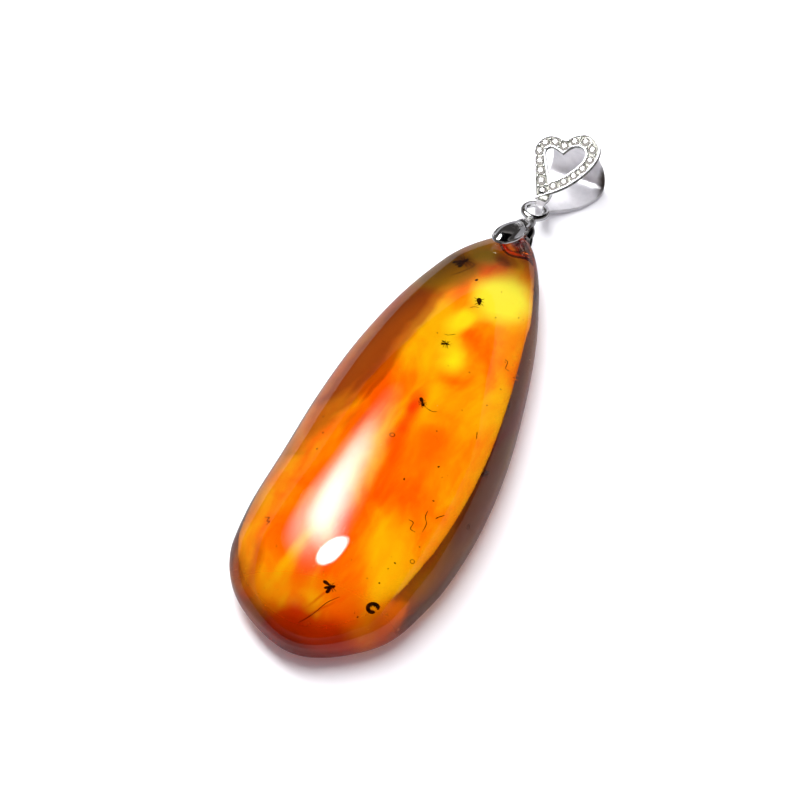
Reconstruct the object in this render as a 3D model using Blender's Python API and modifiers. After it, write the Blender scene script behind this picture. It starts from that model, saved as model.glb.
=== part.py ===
"""An amber drop pendant: small insects sealed in polished amber, a pinch clasp and a heart bail.

Metres, +Z up. The drop lies on its flat back with its long axis along Y, the clasp at +Y and the
polished crown on top. The origin is the middle of the pendant's footprint, on the surface under it.
Lengths below are millimetres. A place is (across, along, up), with along measured from the drop's
round end, so that the drop can be drawn without thinking of the bail.
"""

import math

import bmesh
import bpy
import numpy as np
from mathutils import Matrix, Vector

MM = 0.001
MIDDLE_ACROSS = 0.35
MIDDLE_ALONG = 39.18

# Amber drop
DROP_LENGTH = 63.0
GIRDLE_HEIGHT = 4.0
ROUND_END = 9.0
TIP_END = 8.0
CROWN_ROUND_END = 12.0
SQUARENESS = 0.95
BELLY_SQUARENESS = 0.6
RINGS_ALONG = 26
POINTS_AROUND = 32
# share of the length, half width, sideways drift, crown height, height of the belly before it is cut
DROP_STATIONS = (
    (0.00, 7.8, 0.2, 7.6, -0.15),
    (0.05, 9.6, -0.3, 8.4, -0.15),
    (0.13, 10.8, -0.3, 10.3, -0.15),
    (0.22, 11.8, 0.1, 11.5, -0.15),
    (0.34, 12.0, 0.4, 12.0, -0.15),
    (0.48, 11.7, 0.1, 11.6, -0.15),
    (0.64, 10.4, -0.5, 10.4, -0.15),
    (0.80, 8.0, -0.9, 8.8, 0.1),
    (0.90, 5.7, -1.0, 7.6, 1.4),
    (1.00, 3.6, -0.5, 6.4, 2.6),
)
PART_HEIGHT = 5.6
PART_GAP = 0.06
DRILL_PLACE = (-1.0, 60.2)
DRILL_RADIUS = 0.55
DRILL_SIDES = 12
POCKET_ROOM = 0.22
KEEP_REACH = 20.0

# Insects: where each lies on the parting plane, and the way that its head points
MIDGE = ((-4.0, 54.6), 60)
BEETLE = ((-0.1, 49.3), -70)
GNAT = ((-0.7, 41.5), 10)
ANT = ((0.4, 32.5), -55)
FLY = ((1.5, 7.6), 35)
GRUB = ((6.5, 7.1), 0)
GRUB_BEND = 0.52
GRUB_RADIUS = 0.22
WING_THICKNESS = 0.05
# the insect in each pocket and its own reach along, across and up
POCKETS = (
    ("midge", MIDGE, (1.35, 1.35, 0.5)),
    ("beetle", BEETLE, (0.75, 0.65, 0.4)),
    ("gnat", GNAT, (0.75, 0.8, 0.4)),
    ("ant", ANT, (0.95, 0.65, 0.4)),
    ("fly", FLY, (0.85, 1.0, 0.4)),
    ("grub", GRUB, (0.75, 0.75, 0.3)),
)

# Pinch clasp
LEAF_LENGTH = 6.9
LEAF_WIDTH = 3.05
LEAF_DOME = 0.75
LEAF_THICKNESS = 0.3
LEAF_LIP = 0.12
LEAF_NARROWING = 0.1
LEAF_SEGMENTS = 18
# rings of a leaf from its middle out: share of its size, height
LEAF_RINGS = ((0.35, LEAF_DOME * 0.86), (0.65, LEAF_DOME * 0.5), (0.86, 0.0), (0.9, LEAF_LIP), (1.0, LEAF_LIP))
FRONT_LEAF = ((-1.15, 61.3, 6.5), 9.0, -22.0)
BACK_LEAF = ((-0.85, 62.3, 2.0), 7.0, 15.0)
PRONG_RADIUS = 0.36
PRONG_TIPS = (4.6, 3.7)
PRONG_ROOTS = (7.5, 1.05)
PRONG_SIDES = 8
NECK_PLACE = (-0.75, 66.3, 3.45)
NECK_RADII = (0.75, 0.85, 0.8)
STEM_START = 0.86
STEM_RADIUS = 0.44
RING_CENTRE = (-0.86, 68.2, 3.4)
RING_RADIUS = 1.4
RING_WIRE = 0.36
RING_DROOP = 12.0
RING_SEGMENTS = 20

# Heart bail: the plate slopes up from its tip, and (u, v) are across and up the plate
HEART_TIP = (-1.2, 68.75, 5.1)
HEART_SLOPE = 25.0
PLATE_THICKNESS = 0.8
HEART_LEFT = ((0.0, 0.0), (-1.05, 2.2), (-1.95, 4.3), (-2.55, 6.2), (-1.75, 7.7), (-0.6, 8.15), (0.75, 8.1))
HEART_RIGHT = ((0.75, 8.1), (1.9, 9.1), (3.35, 9.55), (4.9, 8.6), (5.25, 7.0), (4.5, 4.75), (2.75, 2.3), (0.0, 0.0))
OPENING_LEFT = ((0.95, 2.35), (0.35, 3.35), (-0.2, 4.35), (-1.05, 6.0), (-0.4, 6.65), (1.05, 6.3))
OPENING_RIGHT = ((1.05, 6.3), (1.75, 7.35), (2.7, 7.75), (3.5, 7.3), (3.65, 6.0), (2.5, 4.0), (0.95, 2.35))
STONES_LEFT = 6
STONES_RIGHT = 8
STONE_RADIUS = 0.5
STONE_CROWN = 0.16
STONE_PAVILION = 0.3
STONE_TABLE = 0.58
STONE_CULET = 0.3
STONE_SIDES = 10
SEAT_RADIUS = 0.545
SEAT_DEPTH = 0.42
SEAT_BELOW = 0.05

# The strap's side view, from under the heart's tip, through the ring and back to its top: along, up
STRAP_PATH = (
    (69.9, 5.15), (69.1, 4.85), (68.6, 4.1), (68.5, 3.1), (68.8, 2.0), (69.6, 1.3), (71.2, 0.8),
    (73.3, 0.4), (75.8, 0.35), (77.4, 0.9), (78.1, 2.4), (77.9, 4.2), (77.3, 6.0), (76.7, 7.2), (75.95, 8.0),
)
# along the strap's path, as a share: its left and its right edge across
STRAP_EDGES = (
    (0.00, -1.1, 0.55), (0.07, -1.05, 0.45), (0.14, -0.98, 0.0), (0.20, -1.0, -0.12), (0.30, -1.0, -0.12),
    (0.38, -1.2, -0.1), (0.41, -1.5, 0.05), (0.45, -1.9, 1.3), (0.53, -2.5, 3.6), (0.57, -2.7, 4.25),
    (0.64, -2.8, 4.4), (0.71, -2.7, 4.05), (0.80, -2.6, 3.4), (0.93, -2.3, 3.2), (1.00, -2.0, 3.0),
)
STRAP_THICKNESS = 0.5

AMBER_ORANGE = (0.80, 0.27, 0.02, 1.0)
INSECT_BROWN = (0.05, 0.02, 0.01, 1.0)
BRIGHT_SILVER = (0.86, 0.86, 0.87, 1.0)
CLEAR_STONE = (0.95, 0.97, 0.96, 1.0)


def at(across, along, up):
    """A place on the pendant, in metres."""
    return Vector((across - MIDDLE_ACROSS, along - MIDDLE_ALONG, up)) * MM


def clear_scene():
    for obj in list(bpy.data.objects):
        bpy.data.objects.remove(obj, do_unlink=True)


def new_collection(name):
    collection = bpy.data.collections.new(name)
    bpy.context.scene.collection.children.link(collection)
    return collection


def material(name, colour, roughness, metallic=0.0, transmission=0.0, ior=1.5):
    mat = bpy.data.materials.new(name)
    mat.use_nodes = True
    shader = mat.node_tree.nodes["Principled BSDF"]
    shader.inputs["Base Color"].default_value = colour
    shader.inputs["Roughness"].default_value = roughness
    shader.inputs["Metallic"].default_value = metallic
    shader.inputs["Transmission Weight"].default_value = transmission
    shader.inputs["IOR"].default_value = ior
    mat.diffuse_color = colour
    return mat


def add_object(name, mesh, collection, mat=None, smooth_angle=None):
    if smooth_angle is not None:
        mesh.shade_smooth()
        mesh.set_sharp_from_angle(angle=math.radians(smooth_angle))
    obj = bpy.data.objects.new(name, mesh)
    collection.objects.link(obj)
    if mat is not None:
        mesh.materials.clear()
        mesh.materials.append(mat)
    return obj


def as_helper(obj):
    obj.hide_render = True
    obj.display_type = "WIRE"
    return obj


def mesh_from(build):
    """A new mesh from a function that fills a bmesh, with its normals facing out."""
    bm = bmesh.new()
    build(bm)
    bmesh.ops.recalc_face_normals(bm, faces=bm.faces)
    mesh = bpy.data.meshes.new("shape")
    bm.to_mesh(mesh)
    bm.free()
    return mesh


def boolean(obj, operation, other):
    """A live Boolean with one object, or with all the objects of a collection."""
    modifier = obj.modifiers.new(operation.title(), "BOOLEAN")
    modifier.operation = operation
    modifier.solver = "EXACT"
    if isinstance(other, bpy.types.Collection):
        modifier.operand_type = "COLLECTION"
        modifier.collection = other
    else:
        modifier.object = other
    return modifier


def smooth_curve(points, per_span, closed=False):
    """A Catmull-Rom curve through the points, which it meets exactly."""
    pts = [np.array(p, float) for p in points]
    count = len(pts)
    spans = count if closed else count - 1
    curve = []
    for i in range(spans):
        b, c = pts[i], pts[(i + 1) % count]
        a = pts[i - 1] if closed or i else 2 * b - c
        d = pts[(i + 2) % count] if closed or i + 2 < count else 2 * c - b
        for k in range(per_span):
            t = k / per_span
            curve.append(
                0.5 * (2 * b + (c - a) * t + (2 * a - 5 * b + 4 * c - d) * t**2 + (3 * b - 3 * c + d - a) * t**3)
            )
    if not closed:
        curve.append(pts[-1])
    return curve


def blend_along(table, column, share):
    """A column of a table of stations at a share of the way, eased between its rows."""
    shares = [row[0] for row in table]
    values = [row[column] for row in table]
    slopes = np.gradient(values, shares)
    i = min(max(int(np.searchsorted(shares, share)) - 1, 0), len(shares) - 2)
    width = shares[i + 1] - shares[i]
    t = (share - shares[i]) / width
    rise = (values[i + 1] - values[i]) / width
    start, end = (float(np.clip(s, -3 * abs(rise), 3 * abs(rise))) for s in (slopes[i], slopes[i + 1]))
    return (
        (2 * t**3 - 3 * t**2 + 1) * values[i]
        + (t**3 - 2 * t**2 + t) * width * start
        + (-2 * t**3 + 3 * t**2) * values[i + 1]
        + (t**3 - t**2) * width * end
    )


def rounded(distance, reach):
    """How far an end has opened at this distance from it, as a quarter of an ellipse of this reach."""
    left = 1 - min(distance / reach, 1.0)
    return math.sqrt(max(1 - left * left, 0.0))


def drop_section(share):
    """Points around the drop's section at a share of its length, and none where it closes."""
    along = share * DROP_LENGTH
    near, far = along, DROP_LENGTH - along
    half = blend_along(DROP_STATIONS, 1, share) * rounded(near, ROUND_END) * rounded(far, TIP_END)
    drift = blend_along(DROP_STATIONS, 2, share)
    opened = rounded(near, CROWN_ROUND_END) * rounded(far, TIP_END)
    crown = (blend_along(DROP_STATIONS, 3, share) - GIRDLE_HEIGHT) * opened
    belly = (GIRDLE_HEIGHT - blend_along(DROP_STATIONS, 4, share)) * math.sqrt(opened)
    section = []
    for k in range(POINTS_AROUND):
        angle = 2 * math.pi * k / POINTS_AROUND
        c, s = math.cos(angle), math.sin(angle)
        across = drift + half * math.copysign(abs(c) ** SQUARENESS, c)
        if s >= 0:
            up = GIRDLE_HEIGHT + crown * s**SQUARENESS
        else:
            up = GIRDLE_HEIGHT - belly * abs(s) ** BELLY_SQUARENESS
        section.append(at(across, along, up))
    return section


def drop_mesh():
    """The whole drop before its back is cut flat: sections lofted from the round end to the tip."""

    def build(bm):
        shares = [0.5 - 0.5 * math.cos(math.pi * k / RINGS_ALONG) for k in range(1, RINGS_ALONG)]
        rings = [[bm.verts.new(p) for p in drop_section(share)] for share in shares]
        ends = [
            bm.verts.new(at(blend_along(DROP_STATIONS, 2, share), share * DROP_LENGTH, GIRDLE_HEIGHT))
            for share in (0.0, 1.0)
        ]
        for k in range(POINTS_AROUND):
            n = (k + 1) % POINTS_AROUND
            bm.faces.new((ends[0], rings[0][k], rings[0][n]))
            bm.faces.new((ends[1], rings[-1][n], rings[-1][k]))
            for a, b in zip(rings, rings[1:]):
                bm.faces.new((a[k], b[k], b[n], a[n]))

    return mesh_from(build)


def box_mesh(low, high):
    def build(bm):
        size = [high[i] - low[i] for i in range(3)]
        middle = at(*[(high[i] + low[i]) / 2 for i in range(3)])
        matrix = Matrix.Translation(middle) @ Matrix.Diagonal((*[s * MM for s in size], 1))
        bmesh.ops.create_cube(bm, size=1, matrix=matrix)

    return mesh_from(build)


def rod_mesh(place, radius, low, high, segments):
    """An upright cylinder between two heights."""

    def build(bm):
        bmesh.ops.create_cone(
            bm, cap_ends=True, segments=segments, radius1=radius * MM, radius2=radius * MM,
            depth=(high - low) * MM, matrix=Matrix.Translation(at(*place, (low + high) / 2)),
        )

    return mesh_from(build)


def egg_mesh(centre, radii, turn, segments=8, rings=5):
    """An ellipsoid at a centre, turned by a rotation matrix. Radii are along its own axes."""

    def build(bm):
        matrix = Matrix.Translation(centre) @ turn.to_4x4() @ Matrix.Diagonal((*[r * MM for r in radii], 1))
        bmesh.ops.create_uvsphere(bm, u_segments=segments, v_segments=rings, radius=1, matrix=matrix)

    return mesh_from(build)


def tube_object(name, points, radius, collection, resolution=0, cyclic=False):
    """A round wire through the points, as a mesh with its caps welded."""
    data = bpy.data.curves.new(name, "CURVE")
    data.dimensions = "3D"
    data.bevel_depth = radius * MM
    data.bevel_resolution = resolution
    data.use_fill_caps = not cyclic
    spline = data.splines.new("POLY")
    spline.points.add(len(points) - 1)
    for point, place in zip(spline.points, points):
        point.co = (*place, 1)
    spline.use_cyclic_u = cyclic
    return curve_to_mesh(name, data, collection)


def curve_to_mesh(name, data, collection, matrix=None):
    """A curve made a closed mesh, in its place."""
    curve = bpy.data.objects.new(name + "_curve", data)
    bpy.context.scene.collection.objects.link(curve)
    bpy.context.view_layer.update()
    graph = bpy.context.evaluated_depsgraph_get()
    mesh = bpy.data.meshes.new_from_object(curve.evaluated_get(graph))
    bpy.data.objects.remove(curve, do_unlink=True)
    bm = bmesh.new()
    bm.from_mesh(mesh)
    bmesh.ops.remove_doubles(bm, verts=bm.verts, dist=1e-7)
    bmesh.ops.recalc_face_normals(bm, faces=bm.faces)
    bm.to_mesh(mesh)
    bm.free()
    if matrix is not None:
        mesh.transform(matrix)
    return add_object(name, mesh, collection)


def insect_frame(spot):
    """The middle of an insect and its turn: its head along its own +X, its back up."""
    (across, along), heading = spot
    return at(across, along, PART_HEIGHT), Matrix.Rotation(math.radians(heading), 3, "Z")


def add_insect(name, spot, eggs, limbs, wings, parts, mat):
    """Body eggs, bent limbs and flat wings joined in one solid.

    An egg is (middle, radii, nose-up angle), a limb a list of points, and a wing (root, tip, half width).
    """
    middle, turn = insect_frame(spot)
    members = bpy.data.collections.new(name + "_members")
    bpy.context.scene.collection.children.link(members)

    def own(point):
        return middle + turn @ (Vector(point) * MM)

    for i, (place, radii, pitch) in enumerate(eggs[1:]):
        tilt = turn @ Matrix.Rotation(math.radians(-pitch), 3, "Y")
        as_helper(add_object(f"{name}_egg_{i}", egg_mesh(own(place), radii, tilt), members))
    for i, (points, radius) in enumerate(limbs):
        as_helper(tube_object(f"{name}_limb_{i}", [own(p) for p in points], radius, members))
    for i, (root, tip, half) in enumerate(wings):
        root, tip = Vector(root), Vector(tip)
        flat = (tip - root).to_track_quat("X", "Z").to_matrix()
        radii = ((tip - root).length / 2, half, WING_THICKNESS)
        wing = egg_mesh(own((root + tip) / 2), radii, turn @ flat, 8, 4)
        as_helper(add_object(f"{name}_wing_{i}", wing, members))
    place, radii, pitch = eggs[0]
    tilt = turn @ Matrix.Rotation(math.radians(-pitch), 3, "Y")
    obj = add_object(name, egg_mesh(own(place), radii, tilt), parts, mat, 40)
    boolean(obj, "UNION", members)
    return obj


def both_sides(points):
    return [points, [(x, -y, z) for x, y, z in points]]


def legs(roots, reach, rise, drop, radius):
    """Bent legs in pairs: each root is (forward, side), and each foot leans as its root is placed."""
    made = []
    for forward, side in roots:
        lean = forward * 1.6
        knee = (forward + lean * 0.5, side + reach * 0.45, rise)
        foot = (forward + lean, side + reach, drop)
        made += [(p, radius) for p in both_sides([(forward, side * 0.3, 0.0), knee, foot])]
    return made


def add_insects(parts, mat):
    add_insect(
        "midge", MIDGE,
        [((0.1, 0, 0), (0.32, 0.26, 0.28), 0), ((0.5, 0, -0.02), (0.17, 0.16, 0.16), 0),
         ((-0.62, 0, -0.04), (0.55, 0.16, 0.16), 5)],
        legs([(0.28, 0.2), (0.1, 0.22), (-0.12, 0.2)], 0.95, 0.12, -0.25, 0.045),
        [((0.05, 0.1, 0.15), (-1.15, 0.55, 0.18), 0.22), ((0.05, -0.1, 0.15), (-1.15, -0.55, 0.18), 0.22)],
        parts, mat["insect_brown"],
    )
    add_insect(
        "beetle", BEETLE,
        [((-0.12, 0, 0), (0.42, 0.27, 0.2), 0), ((0.28, 0, -0.02), (0.18, 0.2, 0.14), 0),
         ((0.45, 0, -0.03), (0.11, 0.12, 0.09), 0)],
        legs([(0.22, 0.15), (0.0, 0.2), (-0.2, 0.2)], 0.32, 0.02, -0.1, 0.04),
        [],
        parts, mat["insect_brown"],
    )
    add_insect(
        "gnat", GNAT,
        [((0.05, 0, 0.05), (0.18, 0.14, 0.16), 0), ((0.26, 0, 0.0), (0.09, 0.09, 0.09), 0),
         ((-0.28, 0, 0.0), (0.3, 0.08, 0.08), 8)],
        legs([(0.12, 0.1), (0.04, 0.1), (-0.08, 0.1)], 0.5, 0.1, -0.15, 0.04),
        [((0.0, 0.06, 0.14), (-0.5, 0.3, 0.16), 0.1), ((0.0, -0.06, 0.14), (-0.5, -0.3, 0.16), 0.1)],
        parts, mat["insect_brown"],
    )
    add_insect(
        "ant", ANT,
        [((0.0, 0, 0), (0.2, 0.1, 0.1), 0), ((0.32, 0, 0.02), (0.2, 0.19, 0.16), 0),
         ((-0.4, 0, 0.0), (0.3, 0.21, 0.2), 0)],
        legs([(0.1, 0.06), (0.0, 0.07), (-0.1, 0.06)], 0.36, 0.04, -0.14, 0.04)
        + [(p, 0.035) for p in both_sides([(0.4, 0.05, 0.05), (0.55, 0.2, 0.08), (0.72, 0.12, 0.05)])],
        [],
        parts, mat["insect_brown"],
    )
    add_insect(
        "fly", FLY,
        [((0.1, 0, 0), (0.24, 0.2, 0.2), 0), ((0.38, 0, 0.0), (0.13, 0.15, 0.13), 0),
         ((-0.3, 0, -0.02), (0.34, 0.17, 0.16), 0)],
        legs([(0.2, 0.14), (-0.02, 0.14)], 0.4, 0.04, -0.16, 0.04),
        [((0.05, 0.1, 0.1), (-0.55, 0.8, 0.14), 0.2), ((0.05, -0.1, 0.1), (-0.55, -0.8, 0.14), 0.2)],
        parts, mat["insect_brown"],
    )
    middle, turn = insect_frame(GRUB)
    bend = [
        middle + turn @ (Vector((math.cos(a), math.sin(a), 0)) * GRUB_BEND * MM)
        for a in np.linspace(math.radians(20), math.radians(320), 13)
    ]
    grub = tube_object("grub", bend, GRUB_RADIUS, parts, resolution=1)
    grub.data.materials.append(mat["insect_brown"])
    grub.data.shade_smooth()


def add_pockets(collection):
    """A lens of room around each insect, opening on the parting plane."""
    for name, spot, radii in POCKETS:
        middle, turn = insect_frame(spot)
        room = [r + POCKET_ROOM for r in radii]
        as_helper(add_object(f"{name}_pocket", egg_mesh(middle, room, turn, 14, 6), collection))


def add_amber(parts, cutters, mat):
    """The drop in two halves, parted on a level plane so that the insects can lie between them."""
    hollows = bpy.data.collections.new("amber_hollows")
    bpy.context.scene.collection.children.link(hollows)
    add_pockets(hollows)
    drill = rod_mesh(DRILL_PLACE, DRILL_RADIUS, -2, 14, DRILL_SIDES)
    as_helper(add_object("drill", drill, hollows))
    halves = (
        ("amber_dome", PART_HEIGHT + PART_GAP / 2, 20),
        ("amber_base", 0, PART_HEIGHT - PART_GAP / 2),
    )
    for name, low, high in halves:
        keep = box_mesh((-KEEP_REACH, -KEEP_REACH, low), (KEEP_REACH, DROP_LENGTH + KEEP_REACH, high))
        keep = as_helper(add_object(name + "_keep", keep, cutters))
        half = add_object(name, drop_mesh(), parts, mat["amber"], 35)
        boolean(half, "INTERSECT", keep)
        boolean(half, "DIFFERENCE", hollows)


def leaf_mesh(leaf, faces_up):
    """A pressed oval leaf with a raised lip, as an open sheet. It is domed away from the amber."""
    (across, along, up), yaw, slope = leaf
    turn = Matrix.Rotation(math.radians(-yaw), 4, "Z") @ Matrix.Rotation(math.radians(slope), 4, "X")
    place = Matrix.Translation(at(across, along, up)) @ turn
    side = 1 if faces_up else -1

    def build(bm):
        top = bm.verts.new(place @ Vector((0, 0, side * LEAF_DOME * MM)))
        loops = []
        for size, height in LEAF_RINGS:
            loop = []
            for k in range(LEAF_SEGMENTS):
                angle = 2 * math.pi * k / LEAF_SEGMENTS
                narrow = 1 - LEAF_NARROWING * math.cos(angle)
                x = size * LEAF_WIDTH / 2 * math.sin(angle) * narrow
                y = size * LEAF_LENGTH / 2 * math.cos(angle)
                loop.append(bm.verts.new(place @ (Vector((x, y, side * height)) * MM)))
            loops.append(loop)
        for k in range(LEAF_SEGMENTS):
            n = (k + 1) % LEAF_SEGMENTS
            bm.faces.new((top, loops[0][k], loops[0][n]))
            for a, b in zip(loops, loops[1:]):
                bm.faces.new((a[k], b[k], b[n], a[n]))

    return mesh_from(build), place


def add_clasp(parts, mat):
    """Two leaves with their prongs, the stems that join them and the ring, soldered in one piece."""
    members = bpy.data.collections.new("clasp_members")
    bpy.context.scene.collection.children.link(members)
    neck = at(*NECK_PLACE)

    def leaf(name, spec, faces_up, collection):
        mesh, place = leaf_mesh(spec, faces_up)
        obj = add_object(name, mesh, collection)
        shell = obj.modifiers.new("Shell", "SOLIDIFY")
        shell.thickness = LEAF_THICKNESS * MM
        shell.offset = 0
        stem_start = place @ Vector((0, LEAF_LENGTH / 2 * STEM_START * MM, 0))
        stem = tube_object(name + "_stem", [stem_start, (stem_start + neck) / 2, neck], STEM_RADIUS, members, 1)
        as_helper(stem)
        return obj

    as_helper(leaf("back_leaf", BACK_LEAF, False, members))
    front = rod_mesh(DRILL_PLACE, PRONG_RADIUS, PRONG_TIPS[0], PRONG_ROOTS[0], PRONG_SIDES)
    back = rod_mesh(DRILL_PLACE, PRONG_RADIUS, PRONG_ROOTS[1], PRONG_TIPS[1], PRONG_SIDES)
    as_helper(add_object("front_prong", front, members))
    as_helper(add_object("back_prong", back, members))
    as_helper(add_object("neck", egg_mesh(neck, NECK_RADII, Matrix.Identity(3)), members))
    droop = Matrix.Rotation(math.radians(-RING_DROOP), 3, "X")
    circle = [
        at(*RING_CENTRE) + droop @ Vector((math.cos(a), math.sin(a), 0)) * RING_RADIUS * MM
        for a in np.linspace(0, 2 * math.pi, RING_SEGMENTS, endpoint=False)
    ]
    as_helper(tube_object("eye_ring", circle, RING_WIRE, members, 1, cyclic=True))
    clasp = leaf("pinch_clasp", FRONT_LEAF, True, parts)
    clasp.data.materials.append(mat["bright_silver"])
    boolean(clasp, "UNION", members)


def heart_matrix():
    """Takes (across the plate, up the plate, out of its face), in millimetres, to its place."""
    turn = Matrix.Rotation(math.radians(HEART_SLOPE), 4, "X")
    return Matrix.Translation(at(*HEART_TIP)) @ turn @ Matrix.Scale(MM, 4)


def outline(left, right, per_span=3):
    """A closed outline from two sides that meet in corners."""
    return smooth_curve(left, per_span)[:-1] + smooth_curve(right, per_span)[:-1]


def heart_plate(collection):
    data = bpy.data.curves.new("heart_outline", "CURVE")
    data.dimensions = "2D"
    data.fill_mode = "BOTH"
    data.extrude = PLATE_THICKNESS / 2
    for points in (outline(HEART_LEFT, HEART_RIGHT), outline(OPENING_LEFT, OPENING_RIGHT)):
        spline = data.splines.new("POLY")
        spline.points.add(len(points) - 1)
        for point, (u, v) in zip(spline.points, points):
            point.co = (u, v, 0, 1)
        spline.use_cyclic_u = True
    sunk = Matrix.Translation((0, 0, -PLATE_THICKNESS / 2))
    return curve_to_mesh("heart_bail", data, collection, heart_matrix() @ sunk)


def evenly(points, count):
    """Places that share a path out evenly, without its two ends."""
    pts = np.array(points)
    run = np.r_[0, np.cumsum(np.linalg.norm(np.diff(pts, axis=0), axis=1))]
    wanted = run[-1] * np.arange(1, count + 1) / (count + 1)
    return [(float(np.interp(w, run, pts[:, 0])), float(np.interp(w, run, pts[:, 1]))) for w in wanted]


def middle_line(outer, inner, samples=60):
    """The line half-way between two edges of the band, matched by their share of the way."""

    def spread(points):
        pts = np.array(smooth_curve(points, 12))
        run = np.r_[0, np.cumsum(np.linalg.norm(np.diff(pts, axis=0), axis=1))]
        wanted = np.linspace(0, run[-1], samples)
        return np.stack([np.interp(wanted, run, pts[:, 0]), np.interp(wanted, run, pts[:, 1])], 1)

    return (spread(outer) + spread(inner)) / 2


def stone_places():
    """Where the stones sit on the plate: one at the tip, one at the notch, the rest along the sides."""
    left = middle_line(HEART_LEFT, OPENING_LEFT)
    right = middle_line(HEART_RIGHT, OPENING_RIGHT)
    tip, notch = tuple(left[0]), tuple(left[-1])
    return [tip, *evenly(left, STONES_LEFT), notch, *evenly(right, STONES_RIGHT)]


def stone_mesh():
    """A round cut stone: table and crown above its girdle, a short pavilion below."""

    def build(bm):
        for low, high, bottom, top in (
            (0, STONE_CROWN, STONE_RADIUS, STONE_RADIUS * STONE_TABLE),
            (-STONE_PAVILION, 0, STONE_RADIUS * STONE_CULET, STONE_RADIUS),
        ):
            bmesh.ops.create_cone(
                bm, cap_ends=False, segments=STONE_SIDES, radius1=bottom, radius2=top,
                depth=high - low, matrix=Matrix.Translation((0, 0, (low + high) / 2)),
            )
        bmesh.ops.remove_doubles(bm, verts=bm.verts, dist=1e-4)
        open_edges = [e for e in bm.edges if e.is_boundary]
        bmesh.ops.holes_fill(bm, edges=open_edges, sides=0)

    return mesh_from(build)


def add_stones(parts, mat):
    """The stones in their seats. Each copy is an object of its own, and they share one mesh."""
    mesh = stone_mesh()
    for i, (u, v) in enumerate(stone_places()):
        stone = add_object(f"stone_{i + 1:02d}", mesh, parts)
        stone.matrix_world = heart_matrix() @ Matrix.Translation((u, v, -SEAT_BELOW))
    mesh.materials.append(mat["clear_stone"])


def strap_mesh():
    """The strap as an open sheet: through the ring, along the back and up to the heart's top."""
    path = smooth_curve(STRAP_PATH, 3)
    last = len(path) - 1

    def build(bm):
        rows = []
        for i, (along, up) in enumerate(path):
            left, right = (blend_along(STRAP_EDGES, column, i / last) for column in (1, 2))
            rows.append([bm.verts.new(at(left + (right - left) * k / 2, along, up)) for k in range(3)])
        for a, b in zip(rows, rows[1:]):
            for k in range(2):
                bm.faces.new((a[k], a[k + 1], b[k + 1], b[k]))

    return mesh_from(build)


def add_bail(parts, mat):
    """The heart plate with its seats and the strap behind it, cast in one piece."""
    plate = heart_plate(parts)
    plate.data.materials.append(mat["bright_silver"])
    strap = as_helper(add_object("strap", strap_mesh(), bpy.data.collections["Cutters"]))
    shell = strap.modifiers.new("Thickness", "SOLIDIFY")
    shell.thickness = STRAP_THICKNESS * MM
    shell.offset = 0
    boolean(plate, "UNION", strap)
    seats = bpy.data.collections.new("stone_seats")
    bpy.context.scene.collection.children.link(seats)

    def build(bm):
        bmesh.ops.create_cone(
            bm, cap_ends=True, segments=STONE_SIDES, radius1=SEAT_RADIUS, radius2=SEAT_RADIUS, depth=2 * SEAT_DEPTH
        )

    seat = mesh_from(build)
    for i, (u, v) in enumerate(stone_places()):
        cutter = as_helper(add_object(f"seat_{i + 1:02d}", seat, seats))
        cutter.matrix_world = heart_matrix() @ Matrix.Translation((u, v, 0))
    boolean(plate, "DIFFERENCE", seats)


def main():
    clear_scene()
    parts = new_collection("Amber pendant")
    cutters = new_collection("Cutters")
    mat = {
        "amber": material("amber", AMBER_ORANGE, 0.05, transmission=1.0, ior=1.54),
        "insect_brown": material("insect_brown", INSECT_BROWN, 0.5),
        "bright_silver": material("bright_silver", BRIGHT_SILVER, 0.08, metallic=1.0),
        "clear_stone": material("clear_stone", CLEAR_STONE, 0.02, transmission=1.0, ior=2.1),
    }
    add_amber(parts, cutters, mat)
    add_insects(parts, mat)
    add_clasp(parts, mat)
    add_bail(parts, mat)
    add_stones(parts, mat)


main()
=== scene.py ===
"""An amber drop pendant: a polished drop with small insects in it, under a clasp and a heart bail.

Lengths in the tables are millimetres. A place is (across, along, up), with along measured from the
drop's round end towards the bail and up from the surface that the pendant lies on.
"""

import math

import bmesh
import bpy
import numpy as np
from bpy.props import FloatProperty, FloatVectorProperty, PointerProperty
from mathutils import Matrix, Vector


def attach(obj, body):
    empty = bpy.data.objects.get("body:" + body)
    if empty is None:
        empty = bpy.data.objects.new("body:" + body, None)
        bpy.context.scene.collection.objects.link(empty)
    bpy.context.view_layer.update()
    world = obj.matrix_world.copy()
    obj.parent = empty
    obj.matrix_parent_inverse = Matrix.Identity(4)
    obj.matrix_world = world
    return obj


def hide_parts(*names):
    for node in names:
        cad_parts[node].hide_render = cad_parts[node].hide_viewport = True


bl_info = {
    "name": "Amber Drop Pendant",
    "version": (1, 0, 0),
    "blender": (4, 5, 0),
    "location": "3D View > Sidebar > Pendant",
    "description": "Builds a polished amber drop with insects, its clasp and its heart bail",
    "category": "Add Mesh",
}

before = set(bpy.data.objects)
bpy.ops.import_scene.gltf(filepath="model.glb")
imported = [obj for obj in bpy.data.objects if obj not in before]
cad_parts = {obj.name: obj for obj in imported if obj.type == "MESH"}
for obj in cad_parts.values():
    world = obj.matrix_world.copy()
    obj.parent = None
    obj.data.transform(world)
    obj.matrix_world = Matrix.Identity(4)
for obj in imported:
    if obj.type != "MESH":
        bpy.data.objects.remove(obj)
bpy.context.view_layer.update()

MM = 0.001
MIDDLE_ACROSS = 0.35
MIDDLE_ALONG = 39.18

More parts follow.
